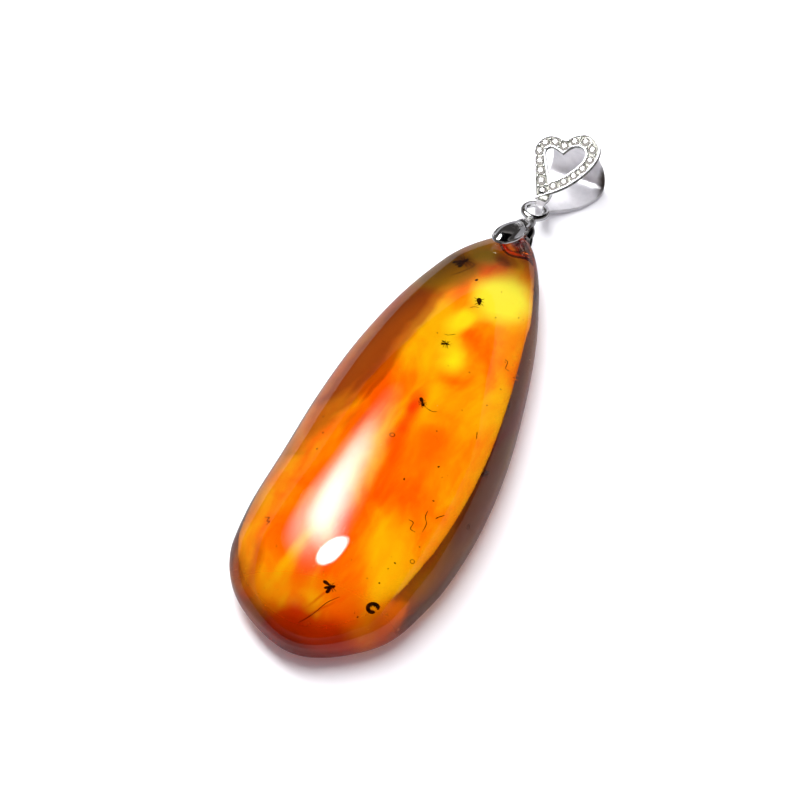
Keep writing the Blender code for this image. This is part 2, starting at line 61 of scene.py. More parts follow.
# Amber drop: share of the length, half width, sideways drift, crown height, belly height before it is cut
DROP_LENGTH = 63.0
GIRDLE_HEIGHT = 4.0
ROUND_END = 9.0
TIP_END = 8.0
CROWN_ROUND_END = 12.0
DROP_STATIONS = (
    (0.00, 7.8, 0.2, 7.6, -0.15),
    (0.05, 9.6, -0.3, 8.4, -0.15),
    (0.13, 10.8, -0.3, 10.3, -0.15),
    (0.22, 11.8, 0.1, 11.5, -0.15),
    (0.34, 12.0, 0.4, 12.0, -0.15),
    (0.48, 11.7, 0.1, 11.6, -0.15),
    (0.64, 10.4, -0.5, 10.4, -0.15),
    (0.80, 8.0, -0.9, 8.8, 0.1),
    (0.90, 5.7, -1.0, 7.6, 1.4),
    (1.00, 3.6, -0.5, 6.4, 2.6),
)
INSECT_HEIGHT = 5.6
DRILL_PLACE = (-1.0, 60.2)
DRILL_RADIUS = 0.55
DRILL_MIDDLE = 6.0
DRILL_LENGTH = 16.0

# Colour in the amber stands in leaning columns. Each has a middle and radii on the flat back, a turn in
# degrees, the share of it that is full, its colour and its strength
COLUMN_LEAN = (-0.18, 0.38, 0.0)
BODY_PALE = (1.0, 0.58, 0.03)
BODY_DEEP = (1.0, 0.12, 0.003)
SHADOW_TINT = (0.2, 0.075, 0.045)
# Where the underside is matt: fully up to a height and not at all from another, at the round end
MATT_BELOW = (0.6, 3.2)
MATT_END = ((0.0, 3.0, 0.0), (14.0, 12.0, 1.0), 0.0, 0.6)
AMBER_ZONES = (
    ((0.9, 53.0), (4.2, 5.2), -10.0, 0.45, (1.0, 1.0, 0.3), 1.0),
    ((-1.6, 47.8), (1.8, 3.8), -16.0, 0.3, (1.0, 0.9, 0.12), 1.0),
    ((-0.6, 42.6), (2.4, 4.0), 20.0, 0.2, (1.0, 0.98, 0.12), 1.0),
    ((2.9, 17.6), (1.7, 5.6), 8.0, 0.1, (1.0, 0.6, 0.03), 0.9),
    ((-1.2, 8.6), (2.9, 2.0), 20.0, 0.1, (1.0, 0.55, 0.03), 0.9),
    ((-4.6, 12.0), (0.8, 5.5), -10.0, 0.2, (1.0, 0.55, 0.03), 0.8),
    ((3.5, 41.0), (1.2, 4.5), 12.0, 0.1, (1.0, 0.6, 0.03), 0.8),
    ((1.9, 48.0), (1.9, 1.6), 10.0, 0.2, (1.0, 0.3, 0.01), 0.6),
    ((1.8, 30.0), (3.2, 6.5), 10.0, 0.1, (1.0, 0.13, 0.003), 0.7),
    ((-5.6, 20.0), (1.6, 7.0), -4.0, 0.1, (1.0, 0.16, 0.005), 0.85),
    ((-1.2, 32.9), (1.25, 5.8), -5.0, 0.15, (0.95, 0.05, 0.03), 1.0),
    ((-5.4, 29.6), (0.5, 2.6), -5.0, 0.1, (0.75, 0.06, 0.02), 0.9),
    ((2.8, 7.2), (3.0, 2.2), 30.0, 0.2, (1.0, 0.1, 0.003), 0.8),
    ((0.3, 7.9), (0.3, 2.9), -28.0, 0.2, (0.6, 0.02, 0.0), 0.9),
    ((-8.2, 8.6), (1.3, 4.4), 12.0, 0.2, (0.45, 0.05, 0.001), 0.9),
    ((-12.4, 19.0), (2.3, 18.0), 0.0, 0.35, (0.34, 0.11, 0.02), 0.85),
    ((-8.2, 40.0), (3.0, 18.0), -8.0, 0.7, (0.32, 0.055, 0.0), 0.97),
    ((-6.4, 54.5), (3.8, 5.0), -30.0, 0.6, (0.4, 0.2, 0.01), 0.9),
    ((-3.2, 58.5), (2.2, 2.4), -40.0, 0.4, (0.55, 0.42, 0.1), 0.8),
    ((-4.8, 56.4), (1.6, 1.0), -30.0, 0.1, (0.3, 0.06, 0.0), 0.75),
    ((-6.3, 35.3), (0.5, 4.5), -6.0, 0.3, (0.3, 0.04, 0.0), 0.9),
    ((-1.2, 58.5), (1.8, 1.2), -20.0, 0.3, (0.28, 0.05, 0.0), 0.9),
    ((1.0, 58.8), (0.6, 1.6), 0.0, 0.2, (1.0, 0.45, 0.02), 1.0),
    ((8.8, 8.6), (3.8, 5.6), 10.0, 0.4, (0.6, 0.05, 0.0), 0.8),
    ((0.5, 0.3), (9.5, 7.6), 0.0, 0.65, (0.36, 0.01, 0.0), 1.0),
)

# Insects: where each lies, and the way that its head points
MIDGE = ((-4.0, 54.6), 60)
BEETLE = ((-0.1, 49.3), -70)
GNAT = ((-0.7, 41.5), 10)
ANT = ((0.4, 32.5), -55)
FLY = ((1.5, 7.6), 35)
GRUB = ((6.5, 7.1), 0)
GRUB_BEND = 0.52
GRUB_RADIUS = 0.22

# Small things in the amber: specks with their radii, hairs with the points along them, and open rings
SPECKS = (
    (5.6, 5.4, 0.1), (5.1, 5.7, 0.06), (5.7, 12.0, 0.08), (6.0, 12.9, 0.1), (5.4, 13.4, 0.07),
    (-7.6, 26.7, 0.08), (-6.7, 24.5, 0.1), (-6.4, 22.2, 0.08), (3.1, 29.7, 0.1), (6.5, 38.9, 0.08),
    (5.5, 42.7, 0.09), (-2.1, 42.6, 0.1), (5.0, 25.6, 0.13), (6.2, 21.5, 0.09), (5.8, 24.6, 0.06),
    (2.7, 22.4, 0.11), (-4.3, 20.6, 0.08), (5.7, 10.1, 0.11), (4.4, 10.1, 0.07), (1.4, 52.0, 0.09),
    (2.3, 48.0, 0.08), (2.9, 39.0, 0.09), (6.1, 35.9, 0.07), (4.2, 33.7, 0.06), (-1.0, 28.8, 0.06),
    (-5.5, 9.8, 0.07), (7.3, 15.8, 0.07), (2.1, 11.4, 0.06), (4.4, 49.6, 0.08), (-1.6, 52.3, 0.2),
)
HAIRS = (
    ((6.2, 20.1), (6.3, 19.3), (6.7, 18.6), (6.8, 17.5)),
    ((7.9, 20.5), (7.4, 20.1), (7.3, 19.6)),
    ((6.6, 32.0), (6.8, 31.2)),
    ((-0.6, 47.9), (-0.2, 48.3), (0.3, 48.4)),
    ((5.0, 18.2), (5.6, 18.0), (5.6, 17.3), (6.2, 17.1)),
    ((5.3, 43.1), (5.8, 42.8), (5.8, 42.0), (6.4, 41.8)),
    ((-7.8, 12.3), (-7.4, 12.4), (-7.5, 12.0), (-7.2, 12.0), (-7.4, 11.6)),
    ((0.3, 2.0), (0.9, 3.1), (1.4, 4.0), (2.0, 5.7), (2.9, 6.9)),
    ((-5.1, 54.9), (-2.8, 54.6), (-3.5, 52.8), (-4.4, 51.8)),
    ((1.0, 32.0), (1.7, 31.9), (2.2, 32.1)),
    ((-0.4, 43.4), (-0.9, 42.9), (-1.5, 42.8)),
)
HAIR_RADIUS = 0.035
RINGS = ((-0.5, 27.0, 0.24), (7.4, 13.9, 0.22))
# Dust: how many grains, and over what length, share of the width, height and size they are strewn
DUST_COUNT = 90
DUST_SEED = 11
DUST_ALONG = (3.0, 57.0)
DUST_SPREAD = 0.62
DUST_UP = (2.5, 6.5)
DUST_SIZES = (0.012, 0.045)

# Pinch clasp
FRONT_LEAF = ((-1.15, 61.3, 6.5), 9.0, -22.0)
BACK_LEAF = ((-0.85, 62.3, 2.0), 7.0, 15.0)
NECK_PLACE = (-0.75, 66.3, 3.45)
NECK_GRAIN = ((-0.78, 65.4, 4.6), (1.5, 1.7, 2.2), 0.0, 0.5)
RING_CENTRE = (-0.86, 68.2, 3.4)
RING_DROOP = 12.0

# Heart bail: (u, v) are across and up the plate
HEART_TIP = (-1.2, 68.75, 5.1)
HEART_SLOPE = 25.0
HEART_LEFT = ((0.0, 0.0), (-1.05, 2.2), (-1.95, 4.3), (-2.55, 6.2), (-1.75, 7.7), (-0.6, 8.15), (0.75, 8.1))
HEART_RIGHT = (
    (0.75, 8.1), (1.9, 9.1), (3.35, 9.55), (4.9, 8.6), (5.25, 7.0), (4.5, 4.75), (2.75, 2.3), (0.0, 0.0),
)
OPENING_LEFT = ((0.95, 2.35), (0.35, 3.35), (-0.2, 4.35), (-1.05, 6.0), (-0.4, 6.65), (1.05, 6.3))
OPENING_RIGHT = ((1.05, 6.3), (1.75, 7.35), (2.7, 7.75), (3.5, 7.3), (3.65, 6.0), (2.5, 4.0), (0.95, 2.35))
STONES_LEFT = 6
STONES_RIGHT = 8
HEART_SIDES = (
    (HEART_LEFT, OPENING_LEFT, STONES_LEFT),
    (HEART_RIGHT, OPENING_RIGHT, STONES_RIGHT),
)
# The strap: its middle line as (along, up), and its left and right edges at shares of that line
STRAP_PATH = (
    (69.9, 5.15), (69.1, 4.85), (68.6, 4.1), (68.5, 3.1), (68.8, 2.0), (69.6, 1.3), (71.2, 0.8),
    (73.3, 0.4), (75.8, 0.35), (77.4, 0.9), (78.1, 2.4), (77.9, 4.2), (77.3, 6.0), (76.7, 7.2), (75.95, 8.0),
)
STRAP_EDGES = (
    (0.00, -1.1, 0.55), (0.07, -1.05, 0.45), (0.14, -0.98, 0.0), (0.20, -1.0, -0.12), (0.30, -1.0, -0.12),
    (0.38, -1.2, -0.1), (0.41, -1.5, 0.05), (0.45, -1.9, 1.3), (0.53, -2.5, 3.6), (0.57, -2.7, 4.25),
    (0.64, -2.8, 4.4), (0.71, -2.7, 4.05), (0.80, -2.6, 3.4), (0.93, -2.3, 3.2), (1.00, -2.0, 3.0),
)
# Painted dark reflection on the strap's outer bend: middle, radii, turn and core
STRAP_BEND_REFLECTION = ((4.2, 77.0, 2.4), (1.2, 1.9, 3.2), -12.0, 0.4)

# Camera: the place on the pendant that it looks at, its angles in degrees and its distance
CAMERA_TARGET = (-3.2, 35.0, 4.0)
CAMERA_AZIMUTH = 25.0
CAMERA_ELEVATION = 52.0
CAMERA_DISTANCE = 340.0
CAMERA_LENS = 135.0
CAMERA_SENSOR = 36.0


def place(across, along, up):
    """A place on the pendant, in metres."""
    return Vector((across - MIDDLE_ACROSS, along - MIDDLE_ALONG, up)) * MM


class AmberSettings(bpy.types.PropertyGroup):
    """Sizes and light values of the drop."""

    index: FloatProperty(name="Index", description="How strongly the amber bends light", default=1.54)
    density: FloatProperty(
        name="Density", description="How strongly the amber takes up light, per metre", default=264.0
    )
    absorbs: FloatVectorProperty(
        name="Absorption colour", description="The colour that the amber lets through", subtype="COLOR",
        size=3, default=(0.985, 0.935, 0.1), min=0.0, max=1.0,
    )
    flat_rounding: FloatProperty(
        name="Edge rounding", description="Rounding between the flat back and the sides",
        default=0.15 * MM, unit="LENGTH",
    )
    polish: FloatProperty(name="Polish", description="Roughness of the polished face", default=0.02)


class StageSettings(bpy.types.PropertyGroup):
    """Floor and light."""

    floor_colour: FloatVectorProperty(
        name="Floor", description="Colour of the floor", subtype="COLOR", size=3,
        default=(0.93, 0.93, 0.94), min=0.0, max=1.0,
    )
    strip_power: FloatProperty(
        name="Strip light", description="Power of the long softbox, in watts", default=4.0
    )
    floor_in_gloss: FloatProperty(
        name="Floor in gloss", description="Share of the floor's brightness that polished faces mirror",
        default=0.27,
    )
    fill_power: FloatProperty(
        name="Fill light", description="Power of the wide light overhead, in watts", default=3.4
    )
    sky: FloatProperty(name="Surroundings", description="Brightness of the surroundings", default=0.07)
    high_sky: FloatProperty(
        name="Ceiling", description="How much brighter gloss finds the surroundings high up", default=0.55
    )
    seen_through: FloatProperty(
        name="Through the amber", description="How much brighter the surroundings are through the amber",
        default=0.04,
    )
    floor_glow: FloatProperty(
        name="Floor glow", description="Light that the room throws back from the floor", default=0.1
    )
    # Painted light: the floor's glow under the drop, standing in for the light that the drop gathers there
    pool: FloatProperty(
        name="Light under the drop", description="Light that the drop gathers on the floor under it",
        default=1.05,
    )


class PendantSettings(bpy.types.PropertyGroup):
    """All that a user would change."""

    amber: PointerProperty(type=AmberSettings)
    stage: PointerProperty(type=StageSettings)


# Shader maths


class Value:
    """A shader socket that takes part in Python expressions, each of which adds a Math node."""

    def __init__(self, nodes, socket):
        self.nodes = nodes
        self.socket = socket

    def __add__(self, other):
        return self.nodes.maths("ADD", self, other)

    def __radd__(self, other):
        return self.nodes.maths("ADD", other, self)

    def __sub__(self, other):
        return self.nodes.maths("SUBTRACT", self, other)

    def __rsub__(self, other):
        return self.nodes.maths("SUBTRACT", other, self)

    def __mul__(self, other):
        return self.nodes.maths("MULTIPLY", self, other)

    def __rmul__(self, other):
        return self.nodes.maths("MULTIPLY", other, self)


class Nodes:
    """A node tree that is filled by plain calls."""

    def __init__(self, tree):
        tree.nodes.clear()
        self.tree = tree

    def add(self, kind, settings=None, inputs=None, output=0):
        """One node: its settings are set first, then the values or links of its sockets."""
        node = self.tree.nodes.new(kind)
        for name, value in (settings or {}).items():
            setattr(node, name, value)
        for name, value in (inputs or {}).items():
            if isinstance(value, Value):
                self.tree.links.new(value.socket, node.inputs[name])
            else:
                node.inputs[name].default_value = value
        return Value(self, node.outputs[output]) if len(node.outputs) else node

    def maths(self, operation, a, b=0.0):
        """A Math node."""
        return self.add("ShaderNodeMath", {"operation": operation}, {0: a, 1: b})

    def vectors(self, operation, a, b):
        """A Vector Math node. Scaling takes a number as its second value."""
        second = "Scale" if operation == "SCALE" else 1
        return self.add("ShaderNodeVectorMath", {"operation": operation}, {0: a, second: b})

    def places(self):
        """Where each point of the piece is, which its patterns stand on."""
        return self.add("ShaderNodeTexCoord", {}, {}, "Object")

    def mix(self, factor, a, b):
        """A mix of two colours."""
        settings = {"data_type": "RGBA", "clamp_factor": True}
        return self.add("ShaderNodeMix", settings, {0: factor, 6: a, 7: b}, 2)

    def smooth(self, value, low, high):
        """0 below low, 1 above high, eased between them."""
        settings = {"interpolation_type": "SMOOTHSTEP"}
        return self.add("ShaderNodeMapRange", settings, {"Value": value, "From Min": low, "From Max": high})

    def noise(self, vector, scale, detail=3.0, roughness=0.5, output="Fac"):
        """Soft noise, with its scale in repeats to the metre."""
        inputs = {"Vector": vector, "Scale": scale, "Detail": detail, "Roughness": roughness}
        return self.add("ShaderNodeTexNoise", {}, inputs, output)

    def bent(self, vector, scale, amount):
        """Coordinates pushed about by noise, so that a pattern on them gets wavy edges."""
        wave = self.noise(vector, scale, 2.0, 0.5, "Color")
        centred = self.vectors("SUBTRACT", wave, (0.5, 0.5, 0.5))
        return self.vectors("ADD", vector, self.vectors("SCALE", centred, amount))

    def zone(self, vector, middle, radii, turn=0.0, core=0.3):
        """1 in the core of an ellipsoid at a place on the pendant, 0 outside it. Radii are millimetres."""
        inputs = {
            "Vector": vector,
            "Location": place(*middle),
            "Rotation": (0.0, 0.0, math.radians(turn)),
            "Scale": Vector(radii) * MM,
        }
        inside = self.add("ShaderNodeMapping", {"vector_type": "TEXTURE"}, inputs)
        reach = self.add("ShaderNodeVectorMath", {"operation": "LENGTH"}, {0: inside}, "Value")
        return 1 - self.smooth(reach, core, 1.0)

    def bump(self, height, strength, depth):
        """A normal for a height of 0 to 1, which stands for so many millimetres."""
        inputs = {"Strength": strength, "Distance": depth * MM, "Height": height}
        return self.add("ShaderNodeBump", {}, inputs, "Normal")

    def principled(self, inputs):
        """A Principled BSDF."""
        return self.add("ShaderNodeBsdfPrincipled", {}, inputs)

    def finish(self, surface, **more):
        """Ends the tree in its surface, and in a volume where one is given."""
        self.add("ShaderNodeOutputMaterial", {}, {"Surface": surface, **more})


def new_material(name):
    """A material with an empty tree, and its nodes."""
    mat = bpy.data.materials.new(name)
    mat.use_nodes = True
    return mat, Nodes(mat.node_tree)


def rgb(red, green, blue):
    return (red, green, blue, 1.0)


def dimmed(colour, share):
    """A colour at a share of its brightness."""
    return rgb(*[c * share for c in colour])


def amber_material(settings):
    """Clear amber: it bends light and takes up more of it the longer the way through."""
    mat, nodes = new_material("clear_amber")
    at = nodes.places()
    height = nodes.add("ShaderNodeSeparateXYZ", {}, {"Vector": at}, "Z")
    level = nodes.vectors("MULTIPLY", at, (1.0, 1.0, 0.0))
    where = nodes.vectors("ADD", level, nodes.vectors("SCALE", COLUMN_LEAN, height))
    flow = nodes.add("ShaderNodeMapping", {}, {"Vector": where, "Scale": (1.0, 0.4, 1.0)})
    clouds = nodes.noise(nodes.bent(flow, 150.0, 0.006), 240.0, 4.0, 0.5)
    tint = nodes.mix(nodes.smooth(clouds, 0.34, 0.68), rgb(*BODY_DEEP), rgb(*BODY_PALE))
    wavy = nodes.bent(nodes.bent(where, 130.0, 0.0022), 600.0, 0.0003)
    for middle, radii, turn, core, colour, strength in AMBER_ZONES:
        mask = nodes.zone(wavy, (*middle, 0.0), (*radii, 1.0), turn, core)
        tint = nodes.mix(mask * strength, tint, rgb(*colour))
    dust = nodes.smooth(nodes.noise(at, 2600.0, 2.0), 0.68, 0.8)
    rubbing = {"Vector": at, "Rotation": (0.0, 0.0, 0.5), "Scale": (1.0, 0.03, 1.0)}
    rubbed = nodes.add("ShaderNodeMapping", {}, rubbing)
    scratches = nodes.smooth(nodes.noise(rubbed, 3200.0, 1.0), 0.66, 0.74)
    relief = nodes.noise(at, 120.0, 2.0) * 0.5 + dust * 0.05 - scratches * 0.02
    bump = nodes.bump(relief, 0.5, 0.1)
    underside = 1 - nodes.smooth(height, MATT_BELOW[0] * MM, MATT_BELOW[1] * MM)
    matt = underside * nodes.zone(where, *MATT_END)
    rough = dust * 0.25 + scratches * 0.1 + matt * 0.32 + settings.polish
    clear = nodes.principled({
        "Base Color": tint,
        "Roughness": rough,
        "IOR": settings.index,
        "Transmission Weight": 1.0,
        "Normal": bump,
    })
    lamp_way = nodes.add("ShaderNodeBsdfTransparent", {}, {"Color": rgb(*SHADOW_TINT)})
    shadow = nodes.add("ShaderNodeLightPath", {}, {}, "Is Shadow Ray")
    surface = nodes.add("ShaderNodeMixShader", {}, {0: shadow, 1: clear, 2: lamp_way})
    taken_up = {"Color": rgb(*settings.absorbs), "Density": settings.density}
    nodes.finish(surface, Volume=nodes.add("ShaderNodeVolumeAbsorption", {}, taken_up))
    return mat


def insect_material():
    """Dark chitin with paler patches."""
    mat, nodes = new_material("insect_chitin")
    where = nodes.places()
    patches = nodes.noise(where, 2600.0, 3.0)
    colour = nodes.mix(nodes.smooth(patches, 0.35, 0.7), rgb(0.012, 0.005, 0.003), rgb(0.07, 0.025, 0.01))
    bump = nodes.bump(nodes.noise(where, 22000.0, 2.0), 0.35, 0.02)
    nodes.finish(nodes.principled({"Base Color": colour, "Roughness": 0.35, "Normal": bump}))
    return mat


def speck_material():
    """Brown crumbs and threads, reddish in patches."""
    mat, nodes = new_material("amber_specks")
    where = nodes.places()
    patches = nodes.noise(where, 1500.0, 3.0)
    colour = nodes.mix(nodes.smooth(patches, 0.35, 0.7), rgb(0.02, 0.006, 0.002), rgb(0.12, 0.03, 0.006))
    nodes.finish(nodes.principled({"Base Color": colour, "Roughness": patches}))
    return mat


def wing_material():
    """Thin brown wings, darker along their veins."""
    mat, nodes = new_material("insect_wing")
    where = nodes.places()
    cells = {"Vector": where, "Scale": 5200.0}
    veins = nodes.add("ShaderNodeTexVoronoi", {"feature": "DISTANCE_TO_EDGE"}, cells, "Distance")
    colour = nodes.mix(nodes.smooth(veins, 0.02, 0.1), rgb(0.03, 0.012, 0.005), rgb(0.3, 0.14, 0.05))
    thinning = {"Value": veins, "From Max": 0.12, "To Min": 0.85, "To Max": 0.45}
    clear = nodes.add("ShaderNodeMapRange", {}, thinning)
    nodes.finish(nodes.principled({"Base Color": colour, "Roughness": 0.25, "Alpha": clear}))
    return mat


def silver_material():
    """Bright polished white metal, with a granular patch on the soldered neck."""
    mat = bpy.data.materials.get("polished_silver")
    if mat:
        return mat
    mat, nodes = new_material("polished_silver")
    where = nodes.places()
    tarnish = nodes.noise(where, 500.0, 4.0, 0.6)
    neck = nodes.zone(where, *NECK_GRAIN)
    bright = nodes.mix(nodes.smooth(tarnish, 0.5, 0.8), rgb(0.9, 0.9, 0.9), rgb(0.7, 0.67, 0.63))
    grain = nodes.noise(where, 5200.0, 2.0)
    pits = nodes.mix(nodes.smooth(grain, 0.4, 0.6), rgb(0.12, 0.11, 0.1), rgb(0.6, 0.6, 0.6))
    colour = nodes.mix(neck, bright, pits)
    height = grain * (neck * 1.6 + 0.015) + nodes.noise(where, 260.0, 2.0) * 0.14
    nodes.finish(nodes.principled({
        "Base Color": colour,
        "Metallic": 1.0,
        "Roughness": tarnish * 0.1 + neck * 0.3 + 0.04,
        "Normal": nodes.bump(height, 0.7, 0.1),
    }))
    return mat


def satin_material():
    """The bail's cast metal: pale and satin, mirror-bright and darker on the strap's outer bend, where the
    darkness is a painted dark reflection.
    """
    mat, nodes = new_material("satin_silver")
    where = nodes.places()
    tarnish = nodes.noise(where, 420.0, 4.0, 0.6)
    edge = nodes.bent(where, 500.0, 0.0012)
    # Painted dark reflection: the strap's outer bend is darkened in colour
    bend = nodes.zone(edge, *STRAP_BEND_REFLECTION)
    pale = nodes.mix(nodes.smooth(tarnish, 0.35, 0.65), rgb(0.92, 0.91, 0.94), rgb(0.78, 0.77, 0.8))
    colour = nodes.mix(bend, pale, rgb(0.14, 0.12, 0.11))
    nodes.finish(nodes.principled({
        "Base Color": colour,
        "Metallic": bend * 0.55 + 0.4,
        "Roughness": tarnish * 0.2 + 0.22,
        "Normal": nodes.bump(nodes.noise(where, 3800.0, 3.0), 0.3, 0.03),
    }))
    return mat


def painted_reflection_silver_material():
    """Mirror-bright metal on the leaves' domes, darkened in colour as a painted dark reflection, a little
    cloudy.
    """
    mat, nodes = new_material("painted_reflection_silver")
    where = nodes.places()
    cloud = nodes.noise(where, 900.0, 3.0, 0.6)
    colour = nodes.mix(cloud, rgb(0.4, 0.41, 0.44), rgb(0.7, 0.68, 0.66))
    nodes.finish(nodes.principled({"Base Color": colour, "Metallic": 1.0, "Roughness": cloud * 0.12 + 0.06}))
    return mat


def painted_shade_recess_material():
    """Dull grey metal in the seats and along the band between the stones: its dark, mottled colour is painted
    shade.
    """
    mat, nodes = new_material("painted_shade_recess")
    where = nodes.places()
    shade_and_grain = nodes.noise(where, 2600.0, 4.0, 0.65)
    # Painted shade: the recesses are darker in colour, mottled by noise
    colour = nodes.mix(nodes.smooth(shade_and_grain, 0.4, 0.62), rgb(0.035, 0.034, 0.026), rgb(0.3, 0.3, 0.27))
    nodes.finish(nodes.principled({
        "Base Color": colour,
        "Metallic": 0.8,
        "Roughness": shade_and_grain * 0.4 + 0.2,
        "Normal": nodes.bump(shade_and_grain, 0.6, 0.05),
    }))
    return mat


def stone_material():
    """Clear cut stone that bends light strongly."""
    mat, nodes = new_material("cut_stone")
    nodes.finish(nodes.principled({
        "Base Color": rgb(0.97, 0.98, 0.96),
        "Roughness": 0.01,
        "IOR": 2.1,
        "Transmission Weight": 1.0,
    }))
    return mat


def floor_material(settings):
    """Matt white card with a faint tooth. Under the drop it glows in two pools of painted light, which stand
    in for the light that the drop gathers there.
    """
    mat, nodes = new_material("pale_floor")
    where = nodes.places()
    tooth = nodes.noise(where, 900.0, 3.0)
    lit = nodes.mix(tooth, rgb(*settings.floor_colour), dimmed(settings.floor_colour, 0.985))
    mirrored = nodes.add("ShaderNodeLightPath", {}, {}, "Is Glossy Ray")
    colour = nodes.mix(mirrored, lit, dimmed(settings.floor_colour, settings.floor_in_gloss))
    # Painted light: two glowing pools on the floor under the drop
    narrow, wide = (nodes.zone(where, middle, radii, 0.0, core) for middle, radii, core in POOLS)
    painted_light_pool = nodes.maths("MAXIMUM", narrow, wide)
    glow = nodes.mix(painted_light_pool, dimmed(FILL_COLOUR, settings.floor_glow), rgb(*[settings.pool] * 3))
    nodes.finish(nodes.principled({
        "Base Color": colour,
        "Roughness": 0.6,
        "Specular IOR Level": 0.0,
        "Emission Color": glow,
        "Emission Strength": 1.0,
    }))
    return mat


# Shapes


def around_circle(count, shift=0.0):
    """Angles evenly around a circle."""
    return [2 * math.pi * (k + shift) / count for k in range(count)]


def blend_along(table, column, share):
    """A column of a table of stations at a share of the way, eased between its rows."""
    shares = [row[0] for row in table]
    values = [row[column] for row in table]
    slopes = np.gradient(values, shares)
    i = min(max(int(np.searchsorted(shares, share)) - 1, 0), len(shares) - 2)
    width = shares[i + 1] - shares[i]
    t = (share - shares[i]) / width
    rise = (values[i + 1] - values[i]) / width
    start, end = (float(np.clip(s, -3 * abs(rise), 3 * abs(rise))) for s in (slopes[i], slopes[i + 1]))
    return (
        (2 * t**3 - 3 * t**2 + 1) * values[i]
        + (t**3 - 2 * t**2 + t) * width * start
        + (-2 * t**3 + 3 * t**2) * values[i + 1]
        + (t**3 - t**2) * width * end
    )


def rounded(distance, reach):
    """How far an end has opened at this distance from it, as a quarter of an ellipse of this reach."""
    left = 1 - min(distance / reach, 1.0)
    return math.sqrt(max(1 - left * left, 0.0))


def skin(rings, first=None, last=None, loop=False):
    """Vertices and faces over equal rings of points, with a point closing either end, or looped."""
    verts = [Vector(p) for ring in rings for p in ring]
    count, around = len(rings), len(rings[0])
    faces = []
    for r in range(count if loop else count - 1):
        a, b = r * around, (r + 1) % count * around
        for k in range(around):
            n = (k + 1) % around
            faces.append((a + k, a + n, b + n, b + k))
    for point, ring, flip in ((first, 0, True), (last, count - 1, False)):
        if point is None:
            continue
        verts.append(Vector(point))
        for k in range(around):
            n = (k + 1) % around
            pair = (ring * around + k, ring * around + n)
            faces.append((*(pair[::-1] if flip else pair), len(verts) - 1))
    return verts, faces


class Builder:
    """Gathers skins for one mesh. The matrix takes their points to metres on the pendant."""

    def __init__(self, matrix=None):
        self.matrix = matrix or Matrix.Identity(4)
        self.verts = []
        self.faces = []
        self.slots = []

    def add(self, shape, slot=0):
        verts, faces = shape
        start = len(self.verts)
        self.verts += [tuple(self.matrix @ v) for v in verts]
        self.faces += [tuple(start + i for i in face) for face in faces]
        self.slots += [slot] * len(faces)

    def mesh(self, name):
        mesh = bpy.data.meshes.new(name)
        mesh.from_pydata(self.verts, [], self.faces)
        mesh.polygons.foreach_set("material_index", self.slots)
        bm = bmesh.new()
        bm.from_mesh(mesh)
        bmesh.ops.recalc_face_normals(bm, faces=bm.faces)
        bm.to_mesh(mesh)
        bm.free()
        return mesh


def piece(name, mesh, materials, smooth_angle=40.0):
    """A new object of the pendant, smooth but for its sharp edges."""
    mesh.name = name
    if smooth_angle is not None:
        mesh.shade_smooth()
        mesh.set_sharp_from_angle(angle=math.radians(smooth_angle))
    obj = bpy.data.objects.new(name, mesh)
    bpy.context.scene.collection.objects.link(obj)
    mesh.materials.clear()
    for mat in materials:
        mesh.materials.append(mat)
    return obj


def baked(obj, name):
    """The object's mesh with its modifiers applied. The object goes."""
    bpy.context.view_layer.update()
    graph = bpy.context.evaluated_depsgraph_get()
    mesh = bpy.data.meshes.new_from_object(obj.evaluated_get(graph))
    mesh.name = name
    bpy.data.objects.remove(obj, do_unlink=True)
    return mesh


def cut(mesh, cutter):
    """The mesh with another mesh taken out of it."""
    body = piece("being_cut", mesh, [], None)
    tool = piece("cutter", cutter, [], None)
    modifier = body.modifiers.new("Cut", "BOOLEAN")
    modifier.operation = "DIFFERENCE"
    modifier.solver = "EXACT"
    modifier.object = tool
    done = baked(body, "cut")
    bpy.data.objects.remove(tool, do_unlink=True)
    return done


def smooth_curve(points, per_span):
    """A Catmull-Rom curve through the points, which it meets exactly."""
    pts = [np.array(p, float) for p in points]
    curve = []
    for i in range(len(pts) - 1):
        b, c = pts[i], pts[i + 1]
        a = pts[i - 1] if i else 2 * b - c
        d = pts[i + 2] if i + 2 < len(pts) else 2 * c - b
        for k in range(per_span):
            t = k / per_span
            line = 2 * b + (c - a) * t
            curve.append(0.5 * (line + (2 * a - 5 * b + 4 * c - d) * t**2 + (3 * b - 3 * c + d - a) * t**3))
    return [*curve, pts[-1]]


def egg(middle, radii, pitch=0.0, bands=0, segments=20, rings=18):
    """An ellipsoid with its long way along X, nose up by the pitch. Bands notch it as a segmented body."""
    turn = Matrix.Rotation(math.radians(-pitch), 3, "Y")

    def spot(way, angle):
        notch = 1 - 0.1 * abs(math.cos(way * bands)) ** 6 if bands else 1
        wide = math.sin(way) * notch
        own = (radii[0] * math.cos(way), radii[1] * wide * math.cos(angle), radii[2] * wide * math.sin(angle))
        return Vector(middle) + turn @ Vector(own)

    rings = rings * 2 if bands else rings
    loops = [[spot(math.pi * r / rings, angle) for angle in around_circle(segments)] for r in range(1, rings)]
    return skin(loops, spot(0.0, 0.0), spot(math.pi, 0.0))


